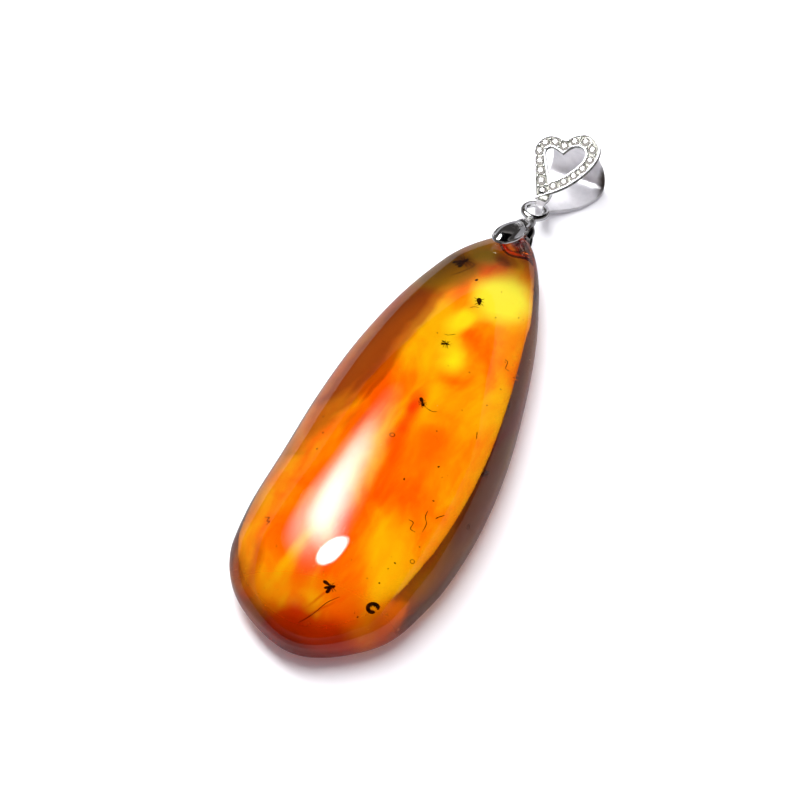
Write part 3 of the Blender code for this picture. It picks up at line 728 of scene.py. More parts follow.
def tube(points, radii, around=12, loop=False, side=None, flat=1.0):
    """A tube through the points, with its radius eased along it. Flat squeezes it across its side way."""
    pts = [Vector(p) for p in points]
    count = len(pts)
    wide = np.interp(np.linspace(0, 1, count), np.linspace(0, 1, len(radii)), radii)
    rings = []
    for i, point in enumerate(pts):
        ahead = pts[(i + 1) % count] if loop or i + 1 < count else 2 * point - pts[i - 1]
        behind = pts[i - 1] if loop or i else 2 * point - pts[1]
        forward = (ahead - behind).normalized()
        side = Vector(side) if side is not None else forward.orthogonal()
        side = (side - forward * side.dot(forward)).normalized()
        other = forward.cross(side) * flat
        angles = around_circle(around)
        rings.append([point + (side * math.cos(a) + other * math.sin(a)) * wide[i] for a in angles])
    return skin(rings, loop=True) if loop else skin(rings, pts[0], pts[-1])


BLADE_FULLNESS = 0.35


def blade(root, tip, half, thick=0.018, around=28):
    """A thin leaf from its root to its tip, widest past its middle."""
    root, tip = Vector(root), Vector(tip)
    middle, run = (root + tip) / 2, (tip - root) / 2
    wide = Vector((-run.y, run.x, 0)).normalized() * half
    lift = Vector((0, 0, thick))
    rings = []
    for size, side in ((0.6, 1), (0.95, 1), (1, 0), (0.95, -1), (0.6, -1)):
        ring = []
        for angle in around_circle(around):
            out = run * math.cos(angle) + wide * math.sin(angle) * (1 + BLADE_FULLNESS * math.cos(angle))
            ring.append(middle + size * out + side * lift)
        rings.append(ring)
    return skin(rings, middle + lift, middle - lift)


def rod(middle, radius, length, sides):
    """An upright cylinder."""
    bm = bmesh.new()
    bmesh.ops.create_cone(
        bm, cap_ends=True, segments=sides, radius1=radius * MM, radius2=radius * MM,
        depth=length * MM, matrix=Matrix.Translation(middle),
    )
    mesh = bpy.data.meshes.new("rod")
    bm.to_mesh(mesh)
    bm.free()
    return mesh


SCATTER_SEED = 7


def scatter(name, points, sizes, thing, material, turn=(0.0, 0.0, 0.0), spin=0.0):
    """Copies of an object on points, made a plain mesh. Spin is how far each is turned at random."""
    carrier = bpy.data.meshes.new(name + "_points")
    carrier.from_pydata([tuple(p) for p in points], [], [])
    carrier.attributes.new("size", "FLOAT", "POINT").data.foreach_set("value", sizes)
    holder = bpy.data.objects.new(name, carrier)
    bpy.context.scene.collection.objects.link(holder)
    group = bpy.data.node_groups.new(name, "GeometryNodeTree")
    inputs = {
        "Geometry": "NodeSocketGeometry",
        "Copy": "NodeSocketObject",
        "Material": "NodeSocketMaterial",
        "Turn": "NodeSocketRotation",
        "Spin": "NodeSocketVector",
        "Seed": "NodeSocketInt",
    }
    for label, kind in inputs.items():
        group.interface.new_socket(label, in_out="INPUT", socket_type=kind)
    group.interface.new_socket("Geometry", in_out="OUTPUT", socket_type="NodeSocketGeometry")
    nodes = Nodes(group)
    entry = group.nodes.new("NodeGroupInput")
    ends = {socket.name: Value(nodes, socket) for socket in entry.outputs}
    as_made = {"transform_space": "ORIGINAL"}
    copy = nodes.add("GeometryNodeObjectInfo", as_made, {"Object": ends["Copy"]}, "Geometry")
    size = nodes.add("GeometryNodeInputNamedAttribute", {"data_type": "FLOAT"}, {"Name": "size"}, "Attribute")
    put = nodes.add(
        "GeometryNodeInstanceOnPoints", {},
        {"Points": ends["Geometry"], "Instance": copy, "Rotation": ends["Turn"], "Scale": size},
    )
    back = nodes.vectors("SCALE", ends["Spin"], -1.0)
    chance = nodes.add(
        "FunctionNodeRandomValue", {"data_type": "FLOAT_VECTOR"},
        {"Min": back, "Max": ends["Spin"], "Seed": ends["Seed"]},
    )
    turned = nodes.add("GeometryNodeRotateInstances", {}, {"Instances": put, "Rotation": chance})
    real = nodes.add("GeometryNodeRealizeInstances", {}, {"Geometry": turned})
    dressed = nodes.add("GeometryNodeSetMaterial", {}, {"Geometry": real, "Material": ends["Material"]})
    leave = group.nodes.new("NodeGroupOutput")
    group.links.new(dressed.socket, leave.inputs[0])
    modifier = holder.modifiers.new("Scatter", "NODES")
    modifier.node_group = group
    keys = {item.name: item.identifier for item in group.interface.items_tree if item.in_out == "INPUT"}
    modifier[keys["Copy"]] = thing
    modifier[keys["Material"]] = material
    modifier[keys["Turn"]] = turn
    modifier[keys["Spin"]] = (spin, spin, spin)
    modifier[keys["Seed"]] = SCATTER_SEED
    return baked(holder, name)


# The amber drop

DROP_RINGS = 150
DROP_AROUND = 152
# The section's fullness: powers of its lift in the belly and the crown, and how far its sides swell
BELLY_SPACING = 1.3
BELLY_RISE = 0.6
CROWN_RISE = 0.95
SIDE_SWELL = 0.05


def settled(up, rounding):
    """A height kept above the flat back, with a rounded edge to it."""
    if up >= rounding:
        return up
    if up <= -rounding:
        return 0.0
    return (up + rounding) ** 2 / (4 * rounding)


def drop_ring(share, rounding):
    """Points around the drop at a share of its length."""
    along = share * DROP_LENGTH
    near, far = along, DROP_LENGTH - along
    half = blend_along(DROP_STATIONS, 1, share) * rounded(near, ROUND_END) * rounded(far, TIP_END)
    drift = blend_along(DROP_STATIONS, 2, share)
    opened = rounded(near, CROWN_ROUND_END) * rounded(far, TIP_END)
    crown = (blend_along(DROP_STATIONS, 3, share) - GIRDLE_HEIGHT) * opened
    belly = (GIRDLE_HEIGHT - blend_along(DROP_STATIONS, 4, share)) * math.sqrt(opened)
    ring = []
    for k in range(DROP_AROUND):
        # In quarters from the right girdle over the crown: lift is 0 at a girdle, 1 at the top or the bottom
        turn = 4 * k / DROP_AROUND
        quarter, part = int(turn), turn % 1.0
        below = quarter >= 2
        lift = part if quarter % 2 == 0 else 1 - part
        s = math.sin((lift**BELLY_SPACING if below else lift) * math.pi / 2)
        c = math.sqrt(max(1 - s * s, 0.0))
        c = c * (1 + SIDE_SWELL * (1 - c * c))
        side = 1 if quarter in (0, 3) else -1
        up = GIRDLE_HEIGHT - belly * s**BELLY_RISE if below else GIRDLE_HEIGHT + crown * s**CROWN_RISE
        ring.append(place(drift + side * half * c, along, settled(up, rounding)))
    return ring


def drop_mesh(rounding):
    """The whole drop, with its rings closer together towards both ends."""
    shares = [0.5 - 0.5 * math.cos(math.pi * k / DROP_RINGS) for k in range(1, DROP_RINGS)]
    rings = [drop_ring(share, rounding) for share in shares]
    ends = [
        place(blend_along(DROP_STATIONS, 2, share), share * DROP_LENGTH, GIRDLE_HEIGHT)
        for share in (0.0, 1.0)
    ]
    drop = Builder()
    drop.add(skin(rings, *ends))
    return drop.mesh("drop")


class PENDANT_OT_amber(bpy.types.Operator):
    """Makes the polished drop with its drilled hole"""

    bl_idname = "pendant.amber"
    bl_label = "Amber drop"

    def execute(self, context):
        settings = context.scene.pendant.amber
        hole = rod(place(*DRILL_PLACE, DRILL_MIDDLE), DRILL_RADIUS, DRILL_LENGTH, 48)
        mesh = cut(drop_mesh(settings.flat_rounding / MM), hole)
        drop = piece("amber_drop", mesh, [amber_material(settings)], 50.0)
        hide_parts("amber_dome", "amber_base")
        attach(drop, "pendant")
        return {"FINISHED"}


# The insects


def both_sides(points):
    """Points on the left of a body, and the same on its right."""
    return [points, [(x, -y, z) for x, y, z in points]]


def insect_frame(spot):
    """Takes an insect's own places, in millimetres with its head along +X, to the pendant."""
    (across, along), heading = spot
    turn = Matrix.Rotation(math.radians(heading), 4, "Z")
    return Matrix.Translation(place(across, along, INSECT_HEIGHT)) @ turn @ Matrix.Scale(MM, 4)


def add_legs(body, roots, reach, rise, drop, radius):
    """Bent legs in pairs: each root is (forward, side), and each foot leans as its root is placed."""
    for forward, side in roots:
        lean = forward * 1.6
        hip = (forward, side * 0.3, 0.0)
        knee = (forward + lean * 0.5, side + reach * 0.45, rise)
        shin = (forward + lean * 0.85, side + reach * 0.8, drop * 0.7)
        foot = (forward + lean * 1.15, side + reach, drop)
        for leg in both_sides([hip, knee, shin, foot]):
            body.add(tube(smooth_curve(leg, 5), (radius * 1.2, radius, radius * 0.7, radius * 0.45), 8))


def add_pairs(body, points, radii):
    """A pair of feelers, jaws or the like, mirrored over the body's length."""
    for half in both_sides(points):
        body.add(tube(smooth_curve(half, 6), radii, 8))


def add_eyes(body, middle, radius):
    """An eye on each side of the head."""
    for spot in both_sides([middle]):
        body.add(egg(spot[0], (radius, radius * 0.8, radius), segments=14, rings=10))


def add_wings(body, root, tip, half):
    """A pair of wings of the second material."""
    for near, far in both_sides([root, tip]):
        body.add(blade(near, far, half), 1)


def build_midge(body):
    """Long legs and feelers, and wings swept back."""
    body.add(egg((0.1, 0, 0), (0.32, 0.26, 0.28)))
    body.add(egg((0.5, 0, -0.02), (0.17, 0.16, 0.16)))
    body.add(egg((-0.62, 0, -0.04), (0.55, 0.16, 0.16), 5, bands=6))
    add_eyes(body, (0.56, 0.1, 0.03), 0.085)
    add_pairs(body, [(0.6, 0.06, 0.05), (0.85, 0.2, 0.12), (1.1, 0.42, 0.1)], (0.035, 0.03, 0.02))
    add_legs(body, [(0.28, 0.2), (0.1, 0.22), (-0.12, 0.2)], 0.95, 0.12, -0.25, 0.045)
    add_wings(body, (0.05, 0.1, 0.15), (-1.15, 0.55, 0.18), 0.22)


def build_beetle(body):
    """Two domed wing cases, short legs and clubbed feelers."""
    for side in (0.05, -0.05):
        body.add(egg((-0.12, side, 0.01), (0.42, 0.22, 0.2)))
    body.add(egg((0.28, 0, -0.02), (0.18, 0.2, 0.14)))
    body.add(egg((0.45, 0, -0.03), (0.11, 0.12, 0.09)))
    add_eyes(body, (0.5, 0.08, -0.01), 0.035)
    add_pairs(body, [(0.5, 0.05, 0.0), (0.6, 0.14, 0.04), (0.62, 0.25, 0.03)], (0.022, 0.02, 0.028))
    add_legs(body, [(0.22, 0.15), (0.0, 0.2), (-0.2, 0.2)], 0.32, 0.02, -0.1, 0.04)


def build_gnat(body):
    """A humped back, long thin legs and narrow wings."""
    body.add(egg((0.05, 0, 0.05), (0.18, 0.14, 0.16)))
    body.add(egg((0.26, 0, 0.0), (0.09, 0.09, 0.09)))
    body.add(egg((-0.28, 0, 0.0), (0.3, 0.08, 0.08), 8, bands=6))
    add_eyes(body, (0.29, 0.06, 0.02), 0.045)
    add_pairs(body, [(0.32, 0.03, 0.02), (0.45, 0.12, 0.06), (0.58, 0.22, 0.04)], (0.02, 0.018, 0.012))
    add_legs(body, [(0.12, 0.1), (0.04, 0.1), (-0.08, 0.1)], 0.5, 0.1, -0.15, 0.035)
    add_wings(body, (0.0, 0.06, 0.14), (-0.5, 0.3, 0.16), 0.1)


def build_ant(body):
    """A broad head with jaws and elbowed feelers, a waist and a banded abdomen."""
    body.add(egg((0.0, 0, 0), (0.2, 0.1, 0.1), bands=3))
    body.add(egg((0.32, 0, 0.02), (0.2, 0.19, 0.16)))
    body.add(egg((-0.17, 0, 0.02), (0.07, 0.06, 0.09)))
    body.add(egg((-0.4, 0, 0.0), (0.3, 0.21, 0.2), bands=5))
    add_eyes(body, (0.38, 0.14, 0.06), 0.04)
    add_pairs(body, [(0.48, 0.08, 0.0), (0.56, 0.09, -0.01), (0.6, 0.02, -0.02)], (0.03, 0.025, 0.01))
    feeler = [(0.4, 0.05, 0.05), (0.5, 0.19, 0.09), (0.56, 0.24, 0.08), (0.72, 0.12, 0.05)]
    add_pairs(body, feeler, (0.025, 0.02, 0.03))
    add_legs(body, [(0.1, 0.06), (0.0, 0.07), (-0.1, 0.06)], 0.36, 0.04, -0.14, 0.035)


def build_fly(body):
    """Large eyes, and wings held out to the sides."""
    body.add(egg((0.1, 0, 0), (0.24, 0.2, 0.2)))
    body.add(egg((0.38, 0, 0.0), (0.13, 0.15, 0.13)))
    body.add(egg((-0.3, 0, -0.02), (0.34, 0.17, 0.16), bands=5))
    add_eyes(body, (0.42, 0.09, 0.03), 0.085)
    add_pairs(body, [(0.48, 0.03, 0.02), (0.54, 0.05, 0.0), (0.56, 0.06, -0.05)], (0.025, 0.03, 0.01))
    add_legs(body, [(0.2, 0.14), (0.08, 0.15), (-0.06, 0.14)], 0.4, 0.04, -0.16, 0.035)
    add_wings(body, (0.05, 0.1, 0.1), (-0.55, 0.8, 0.14), 0.2)


def build_grub(body):
    """A ringed body curled into a hook, with small feet inside the bend."""
    turns = np.linspace(math.radians(20), math.radians(320), 61)
    bend = [(math.cos(a) * GRUB_BEND, math.sin(a) * GRUB_BEND, 0) for a in turns]
    swell = [0.1, 0.17] + [GRUB_RADIUS - 0.03 * (k % 2) for k in range(24)] + [0.19, 0.13, 0.06]
    body.add(tube(bend, swell, 20))
    body.add(egg((0.49, 0.17, 0), (0.13, 0.15, 0.14)))
    for a in turns[8:40:8]:
        steps = ((0.45, -0.1), (0.34, -0.22), (0.3, -0.26))
        foot = [(math.cos(a) * reach, math.sin(a) * reach, up) for reach, up in steps]
        body.add(tube(foot, (0.05, 0.035, 0.015), 8))


INSECTS = (
    ("midge", MIDGE, build_midge),
    ("beetle", BEETLE, build_beetle),
    ("gnat", GNAT, build_gnat),
    ("ant", ANT, build_ant),
    ("fly", FLY, build_fly),
    ("grub", GRUB, build_grub),
)


class PENDANT_OT_insects(bpy.types.Operator):
    """Makes the six insects"""

    bl_idname = "pendant.insects"
    bl_label = "Insects"

    def execute(self, context):
        mats = [insect_material(), wing_material()]
        for name, spot, build in INSECTS:
            body = Builder(insect_frame(spot))
            build(body)
            insect = piece(name + "_body", body.mesh(name + "_body"), mats)
            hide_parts(name)
            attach(insect, "pendant")
        return {"FINISHED"}


class PENDANT_OT_specks(bpy.types.Operator):
    """Makes the crumbs, hairs and dust that are sealed in with the insects"""

    bl_idname = "pendant.specks"
    bl_label = "Specks and hairs"

    def execute(self, context):
        material = speck_material()
        lump = Builder(Matrix.Scale(MM, 4))
        lump.add(egg((0, 0, 0), (1.25, 0.8, 0.7), bands=2, segments=8, rings=4))
        crumb = piece("crumb", lump.mesh("crumb"), [material])
        chance = np.random.default_rng(DUST_SEED)
        spots = [place(x, y, INSECT_HEIGHT) for x, y, _ in SPECKS]
        sizes = [size for _, _, size in SPECKS]
        for _ in range(DUST_COUNT):
            along = chance.uniform(*DUST_ALONG)
            half = DUST_SPREAD * blend_along(DROP_STATIONS, 1, along / DROP_LENGTH)
            spots.append(place(chance.uniform(-half, half), along, chance.uniform(*DUST_UP)))
            sizes.append(chance.uniform(*DUST_SIZES))
        mesh = scatter("amber_specks", spots, sizes, crumb, material, spin=math.pi)
        bpy.data.objects.remove(crumb, do_unlink=True)
        specks = piece("amber_specks", mesh, [material])
        threads = Builder(Matrix.Scale(MM, 4) @ Matrix.Translation((-MIDDLE_ACROSS, -MIDDLE_ALONG, 0)))
        for i, hair in enumerate(HAIRS):
            way = [(x, y, INSECT_HEIGHT + 0.15 * math.sin(3 * k + i)) for k, (x, y) in enumerate(hair)]
            radii = [HAIR_RADIUS * r for r in (0.7, 1.3, 1.0, 1.2, 0.5)]
            threads.add(tube(smooth_curve(way, 8), radii, 8))
        for x, y, radius in RINGS:
            angles = around_circle(24)
            loop = [(x + radius * math.cos(a), y + radius * math.sin(a), INSECT_HEIGHT) for a in angles]
            threads.add(tube(loop, (HAIR_RADIUS, HAIR_RADIUS), 8, loop=True))
        hairs = piece("amber_hairs", threads.mesh("amber_hairs"), [material])
        for thing in (specks, hairs):
            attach(thing, "pendant")
        return {"FINISHED"}


# The clasp

LEAF_LENGTH = 6.9
LEAF_WIDTH = 3.05
# Profile of a leaf from its middle out to its edge and back under it: share of its size, height
LEAF_PROFILE = (
    (0.12, 0.9), (0.25, 0.89), (0.4, 0.86), (0.52, 0.8), (0.62, 0.72), (0.7, 0.61), (0.77, 0.46),
    (0.83, 0.29), (0.87, 0.19), (0.9, 0.15), (0.93, 0.17), (0.96, 0.2), (0.985, 0.18), (1.0, 0.1),
    (1.0, 0.03), (0.98, -0.02), (0.94, -0.04), (0.86, -0.1), (0.76, 0.0), (0.65, 0.18), (0.5, 0.38),
    (0.3, 0.52), (0.12, 0.58),
)
LEAF_TOP = 0.91
LEAF_CLEARANCE = 0.05
LEAF_UNDER = 0.6
LEAF_NARROWING = 0.1
# The dome on a leaf that gets the painted dark reflection: how far out it reaches as a share of the leaf, the
# lowest that it comes, and the height that its foot falls from by that share
DOME_REACH = 0.86
DOME_LOWEST = 0.1
DOME_FOOT = 0.84
PRONG_RADIUS = 0.36
PRONG_TIPS = (4.6, 3.7)
PRONG_ROOT = 0.7
# How far each ring of a prong's nose is from its low end and its share of the radius, and how far the last
# ring but one is from the high end
PRONG_NOSE = ((0.0, 0.3), (0.06, 0.62), (0.18, 0.88), (0.36, 1.0))
PRONG_COLLAR = 0.1
# The arms from the leaves to the neck: where they start and pass the rim, their radii and flatness
ARM_START = (2.35, 0.1)
ARM_RIM = (3.3, 0.12)
ARM_RADII = (0.85, 0.8, 0.62, 0.56, 0.6)
ARM_FLATNESS = 0.62
NECK_RADII = (0.72, 0.85, 0.78)
RING_RADIUS = 1.37
RING_WIRE = 0.4


def leaf_matrix(leaf):
    """Takes a leaf's own places, in millimetres with its tip towards -Y, to the pendant."""
    spot, yaw, slope = leaf
    turn = Matrix.Rotation(math.radians(-yaw), 4, "Z") @ Matrix.Rotation(math.radians(slope), 4, "X")
    return Matrix.Translation(place(*spot)) @ turn @ Matrix.Scale(MM, 4)


def leaf_shape(side, around=72):
    """A pressed oval leaf with a raised lip, domed to one side."""
    rings = []
    for size, height in LEAF_PROFILE:
        ring = []
        for angle in around_circle(around):
            narrow = 1 - LEAF_NARROWING * math.cos(angle)
            x = size * LEAF_WIDTH / 2 * math.sin(angle) * narrow
            ring.append((x, size * LEAF_LENGTH / 2 * math.cos(angle), side * height))
        rings.append(ring)
    return skin(rings, (0, 0, side * LEAF_TOP), (0, 0, side * LEAF_UNDER))


class PENDANT_OT_clasp(bpy.types.Operator):
    """Makes the two leaves with their prongs, the neck and the ring"""

    bl_idname = "pendant.clasp"
    bl_label = "Pinch clasp"

    def execute(self, context):
        clasp = Builder()
        neck = place(*NECK_PLACE)
        for leaf, side in ((FRONT_LEAF, 1), (BACK_LEAF, -1)):
            matrix = leaf_matrix(leaf)
            clasp.matrix = matrix
            clasp.add(leaf_shape(side))
            clasp.matrix = Matrix.Identity(4)
            start, rim = (matrix @ Vector((0, along, side * up)) for along, up in (ARM_START, ARM_RIM))
            way = smooth_curve([start, rim, rim.lerp(neck, 0.5), neck], 6)
            clasp.add(tube(way, [r * MM for r in ARM_RADII], 28, side=(1, 0, 0), flat=ARM_FLATNESS))
        clasp.matrix = Matrix.Translation(neck) @ Matrix.Scale(MM, 4)
        clasp.add(egg((0, 0, 0), NECK_RADII, segments=36, rings=24))
        clasp.matrix = Matrix.Identity(4)
        clasp.add(self.prong(PRONG_TIPS[0], FRONT_LEAF[0][2] + PRONG_ROOT))
        clasp.add(self.prong(BACK_LEAF[0][2] - PRONG_ROOT, PRONG_TIPS[1]))
        droop = Matrix.Rotation(math.radians(-RING_DROOP), 4, "X")
        clasp.matrix = Matrix.Translation(place(*RING_CENTRE)) @ droop @ Matrix.Scale(MM, 4)
        circle = [(RING_RADIUS * math.cos(a), RING_RADIUS * math.sin(a), 0) for a in around_circle(96)]
        clasp.add(tube(circle, (RING_WIRE, RING_WIRE), 28, loop=True))
        # The second material paints a dark reflection on the leaves' domes
        obj = piece("clasp_body", clasp.mesh("clasp_body"), [silver_material(), painted_reflection_silver_material()])
        for leaf, side in ((FRONT_LEAF, 1), (BACK_LEAF, -1)):
            self.paint_dome_reflection(obj.data, leaf_matrix(leaf).inverted(), side)
        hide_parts("pinch_clasp")
        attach(obj, "pendant")
        return {"FINISHED"}

    def paint_dome_reflection(self, mesh, to_leaf, side):
        """Gives the dome of a leaf the second material, which paints a dark reflection on it."""
        for face in mesh.polygons:
            spot = to_leaf @ face.center
            up = side * spot.z
            reach = math.hypot(2 * spot.x / LEAF_WIDTH, 2 * spot.y / LEAF_LENGTH)
            if reach < DOME_REACH and max(DOME_LOWEST, DOME_FOOT - reach) < up < LEAF_TOP + LEAF_CLEARANCE:
                face.material_index = 1

    def prong(self, low, high):
        """An upright pin in the drilled hole, with a rounded lower end."""
        nose = [(low + step, share) for step, share in PRONG_NOSE]
        rings = [*nose, (high - PRONG_COLLAR, 1.0), (high, 1.0)]
        way = [place(*DRILL_PLACE, up) for up, _ in rings]
        return tube(way, [PRONG_RADIUS * MM * share for _, share in rings], 32)


# The heart bail

PLATE_THICKNESS = 0.8
STRAP_THICKNESS = 0.5
STRAP_AROUND = 28
SEAT_RADIUS = 0.545
SEAT_DEPTH = 0.42
RECESS_TOP = -0.09
BAND_FLOOR = -0.2
WALL_SHADE = -0.3
SEAT_MARGIN = 1.03
STONE_RADIUS = 0.5
STONE_BELOW = 0.05
# A stone's facets from its table down: corners, turn in steps, share of the radius, height
STONE_LEVELS = (
    (8, 0.0, 0.57, 0.16), (8, 0.5, 0.82, 0.1), (16, 0.0, 1.0, 0.01),
    (16, 0.0, 1.0, -0.02), (8, 0.5, 0.62, -0.17), (8, 0.0, 0.3, -0.28),
)
BEAD_RADII = (0.17, 0.17, 0.14)
BEAD_ASIDE = 0.42
BEAD_BELOW = 0.04
# The band's profile from its outer edge to its opening: share of the way in, millimetres in, depth
BAND_PROFILE = (
    (0, 0.06, -0.8), (0, 0.0, -0.74), (0, 0.0, -0.08), (0, 0.03, -0.02), (0, 0.09, 0.0), (0, 0.2, 0.0),
    (0, 0.26, -0.03), (0, 0.3, -0.12), (0, 0.36, -0.14), (0.5, 0.0, -0.12), (1, -0.36, -0.14),
    (1, -0.3, -0.12), (1, -0.26, -0.03), (1, -0.2, 0.0), (1, -0.09, 0.0), (1, -0.03, -0.02),
    (1, 0.0, -0.08), (1, 0.0, -0.74), (1, -0.06, -0.8),
)


def heart_matrix():
    """Takes (across the plate, up the plate, out of its face), in millimetres, to its place."""
    turn = Matrix.Rotation(math.radians(HEART_SLOPE), 4, "X")
    return Matrix.Translation(place(*HEART_TIP)) @ turn @ Matrix.Scale(MM, 4)


def at_shares(points, shares):
    """Points at shares of the way along a line through many points."""
    run = np.r_[0, np.cumsum(np.linalg.norm(np.diff(points, axis=0), axis=1))]
    return np.stack([np.interp(run[-1] * shares, run, points[:, column]) for column in (0, 1)], 1)


def spread(points, samples):
    """Points evenly along a smooth curve, both its ends among them."""
    return at_shares(np.array(smooth_curve(points, 16)), np.linspace(0, 1, samples))


def stone_places():
    """Where the stones sit: one at the tip, one at the notch, the rest evenly along the sides."""
    places = []
    for outer, inner, count in HEART_SIDES:
        line = (spread(outer, 60) + spread(inner, 60)) / 2
        places += [Vector((x, y, 0)) for x, y in at_shares(line, np.arange(count + 1) / (count + 1))]
    return places


def heart_shape():
    """The band between the heart's outline and its opening, with a rim along both."""
    outer, inner = (
        np.concatenate([spread(left, 56)[:-1], spread(right, 64)[:-1]])
        for left, right in ((HEART_LEFT, HEART_RIGHT), (OPENING_LEFT, OPENING_RIGHT))
    )
    rings = []
    for out_point, in_point in zip(outer, inner):
        way = in_point - out_point
        step = way / np.linalg.norm(way)
        ring = [(*(out_point + way * share + step * shift), depth) for share, shift, depth in BAND_PROFILE]
        rings.append(ring)
    return skin(rings, loop=True)


def strap_shape():
    """The strap with round edges: through the ring, along the back and up to the heart's top."""
    path = smooth_curve(STRAP_PATH, 9)
    half = STRAP_THICKNESS / 2
    rings = []
    for i, point in enumerate(path):
        way = path[min(i + 1, len(path) - 1)] - path[max(i - 1, 0)]
        out = np.array((-way[1], way[0])) / np.linalg.norm(way)
        left, right = (blend_along(STRAP_EDGES, column, i / (len(path) - 1)) for column in (1, 2))
        ring = []
        for angle in around_circle(STRAP_AROUND, 0.5):
            c, s = math.cos(angle), math.sin(angle)
            x = (left + right) / 2 + math.copysign((right - left) / 2 - half, c) + half * c
            along, up = point + out * half * s
            ring.append(place(x, along, up))
        rings.append(ring)
    middle = [sum((Vector(p) for p in ring), Vector()) / len(ring) for ring in (rings[0], rings[-1])]
    return skin(rings, *middle)


class PENDANT_OT_bail(bpy.types.Operator):
    """Makes the heart plate with its seats and the strap behind it"""

    bl_idname = "pendant.bail"
    bl_label = "Heart bail"

    def execute(self, context):
        plate = Builder(heart_matrix())
        plate.add(heart_shape())
        seats = bmesh.new()
        for spot in stone_places():
            bmesh.ops.create_cone(
                seats, cap_ends=True, segments=40, radius1=SEAT_RADIUS, radius2=SEAT_RADIUS,
                depth=2 * SEAT_DEPTH, matrix=heart_matrix() @ Matrix.Translation(spot),
            )
        holes = bpy.data.meshes.new("holes")
        seats.to_mesh(holes)
        seats.free()
        mesh = cut(plate.mesh("plate"), holes)
        strap = Builder()
        strap.add(strap_shape())
        whole = bmesh.new()
        whole.from_mesh(mesh)
        whole.from_mesh(strap.mesh("strap"))
        whole.to_mesh(mesh)
        whole.free()
        obj = piece("bail_body", mesh, [satin_material(), painted_shade_recess_material()])
        self.mark_recesses(obj.data)
        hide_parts("heart_bail")
        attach(obj, "bail")
        return {"FINISHED"}

    def mark_recesses(self, mesh):
        """Gives the seats, the sunk band between the rims and the lower walls the second material, with its
        painted shade.
        """
        to_face = heart_matrix().inverted()
        seats = stone_places()
        for face in mesh.polygons:
            spot = to_face @ face.center
            if not -PLATE_THICKNESS < spot.z < RECESS_TOP:
                continue
            seat = min((Vector((spot.x, spot.y, 0)) - seat).length for seat in seats)
            facing = abs((to_face.to_3x3() @ face.normal).normalized().z)
            sunk = spot.z > BAND_FLOOR and facing > 0.9
            lower_wall = spot.z < WALL_SHADE and facing < 0.4
            # Seats, sunk band and lower walls get the painted shade
            if seat < SEAT_RADIUS * SEAT_MARGIN or sunk or lower_wall:
                face.material_index = 1


def brilliant():
    """A round cut stone: table, crown, girdle and pavilion with their facets."""
    bm = bmesh.new()
    for count, shift, share, height in STONE_LEVELS:
        radius = STONE_RADIUS * share
        for angle in around_circle(count, shift):
            bm.verts.new((radius * math.cos(angle) * MM, radius * math.sin(angle) * MM, height * MM))
    hull = bmesh.ops.convex_hull(bm, input=bm.verts)
    inner = list({v for v in hull["geom_interior"] if isinstance(v, bmesh.types.BMVert)})
    bmesh.ops.delete(bm, geom=inner)
    bmesh.ops.dissolve_limit(bm, angle_limit=math.radians(1), verts=bm.verts, edges=bm.edges)
    mesh = bpy.data.meshes.new("stone")
    bm.to_mesh(mesh)
    bm.free()
    return mesh


class PENDANT_OT_stones(bpy.types.Operator):
    """Sets the cut stones in their seats, with a bead prong on both sides between each two"""

    bl_idname = "pendant.stones"
    bl_label = "Stones"

    def execute(self, context):
        to_plate = heart_matrix()
        seats = stone_places()
        spots = [to_plate @ (seat - Vector((0, 0, STONE_BELOW))) for seat in seats]
        cut_stone = piece("cut_stone", brilliant(), [], None)
        material = stone_material()
        slope = to_plate.to_euler()
        mesh = scatter("stones", spots, [1.0] * len(spots), cut_stone, material, slope)
        bpy.data.objects.remove(cut_stone, do_unlink=True)
        stones = piece("cut_stones", mesh, [material], None)
        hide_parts(*[f"stone_{i + 1:02d}" for i in range(len(seats))])
        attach(stones, "bail")
        claws = []
        for a, b in zip(seats, seats[1:] + seats[:1]):
            side = Vector((a.y - b.y, b.x - a.x, 0)).normalized() * BEAD_ASIDE
            claws += [to_plate @ ((a + b) / 2 + side * s - Vector((0, 0, BEAD_BELOW))) for s in (1, -1)]
        bead = Builder(Matrix.Scale(MM, 4))
        bead.add(egg((0, 0, 0), BEAD_RADII, segments=16, rings=10))
        ball = piece("bead", bead.mesh("bead"), [])
        mesh = scatter("beads", claws, [1.0] * len(claws), ball, silver_material(), slope)
        bpy.data.objects.remove(ball, do_unlink=True)
        beads = piece("bead_prongs", mesh, [silver_material()])
        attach(beads, "bail")
        return {"FINISHED"}


# The stage

FLOOR_DROP = 0.02
FLOOR_HALF = 1500.0
STRIP_MIDDLE = (-150.0, 90.0, 400.0)
STRIP_SIZE = (210.0, 720.0)
FILL_MIDDLE = (0.0, 0.0, 900.0)
FILL_SIZE = (1200.0, 1200.0)
FILL_COLOUR = (0.9, 0.88, 1.0)
SKY_COLOUR = (1.0, 0.93, 0.9)
# Pools of painted light that the floor gives off, hidden under the drop: middle, radii and core of each
POOLS = (((-0.2, 33.0, 0.0), (9.2, 27.5, 5.0), 0.75), ((-0.2, 16.0, 0.0), (9.9, 12.7, 5.0), 0.86))
PANEL_HEIGHT = 400.0
PANEL_HALF = 620.0
# What gloss sees in the light's place: middle, radii, turn, core and strength of each glow on the panel
PANEL_GLOWS = (
    ((-225.0, 80.0), (190.0, 390.0), 14.0, 0.15, 7.0),
    ((-185.0, 105.0), (110.0, 330.0), 24.0, 0.1, 15.0),
    ((-72.0, -115.0), (44.0, 120.0), -18.0, 0.7, 30.0),
)


def look_towards(direction):
    """A turn whose own -Z points along the direction, with +Y as near to up as it goes."""
    return (-direction).to_track_quat("Z", "Y").to_euler()


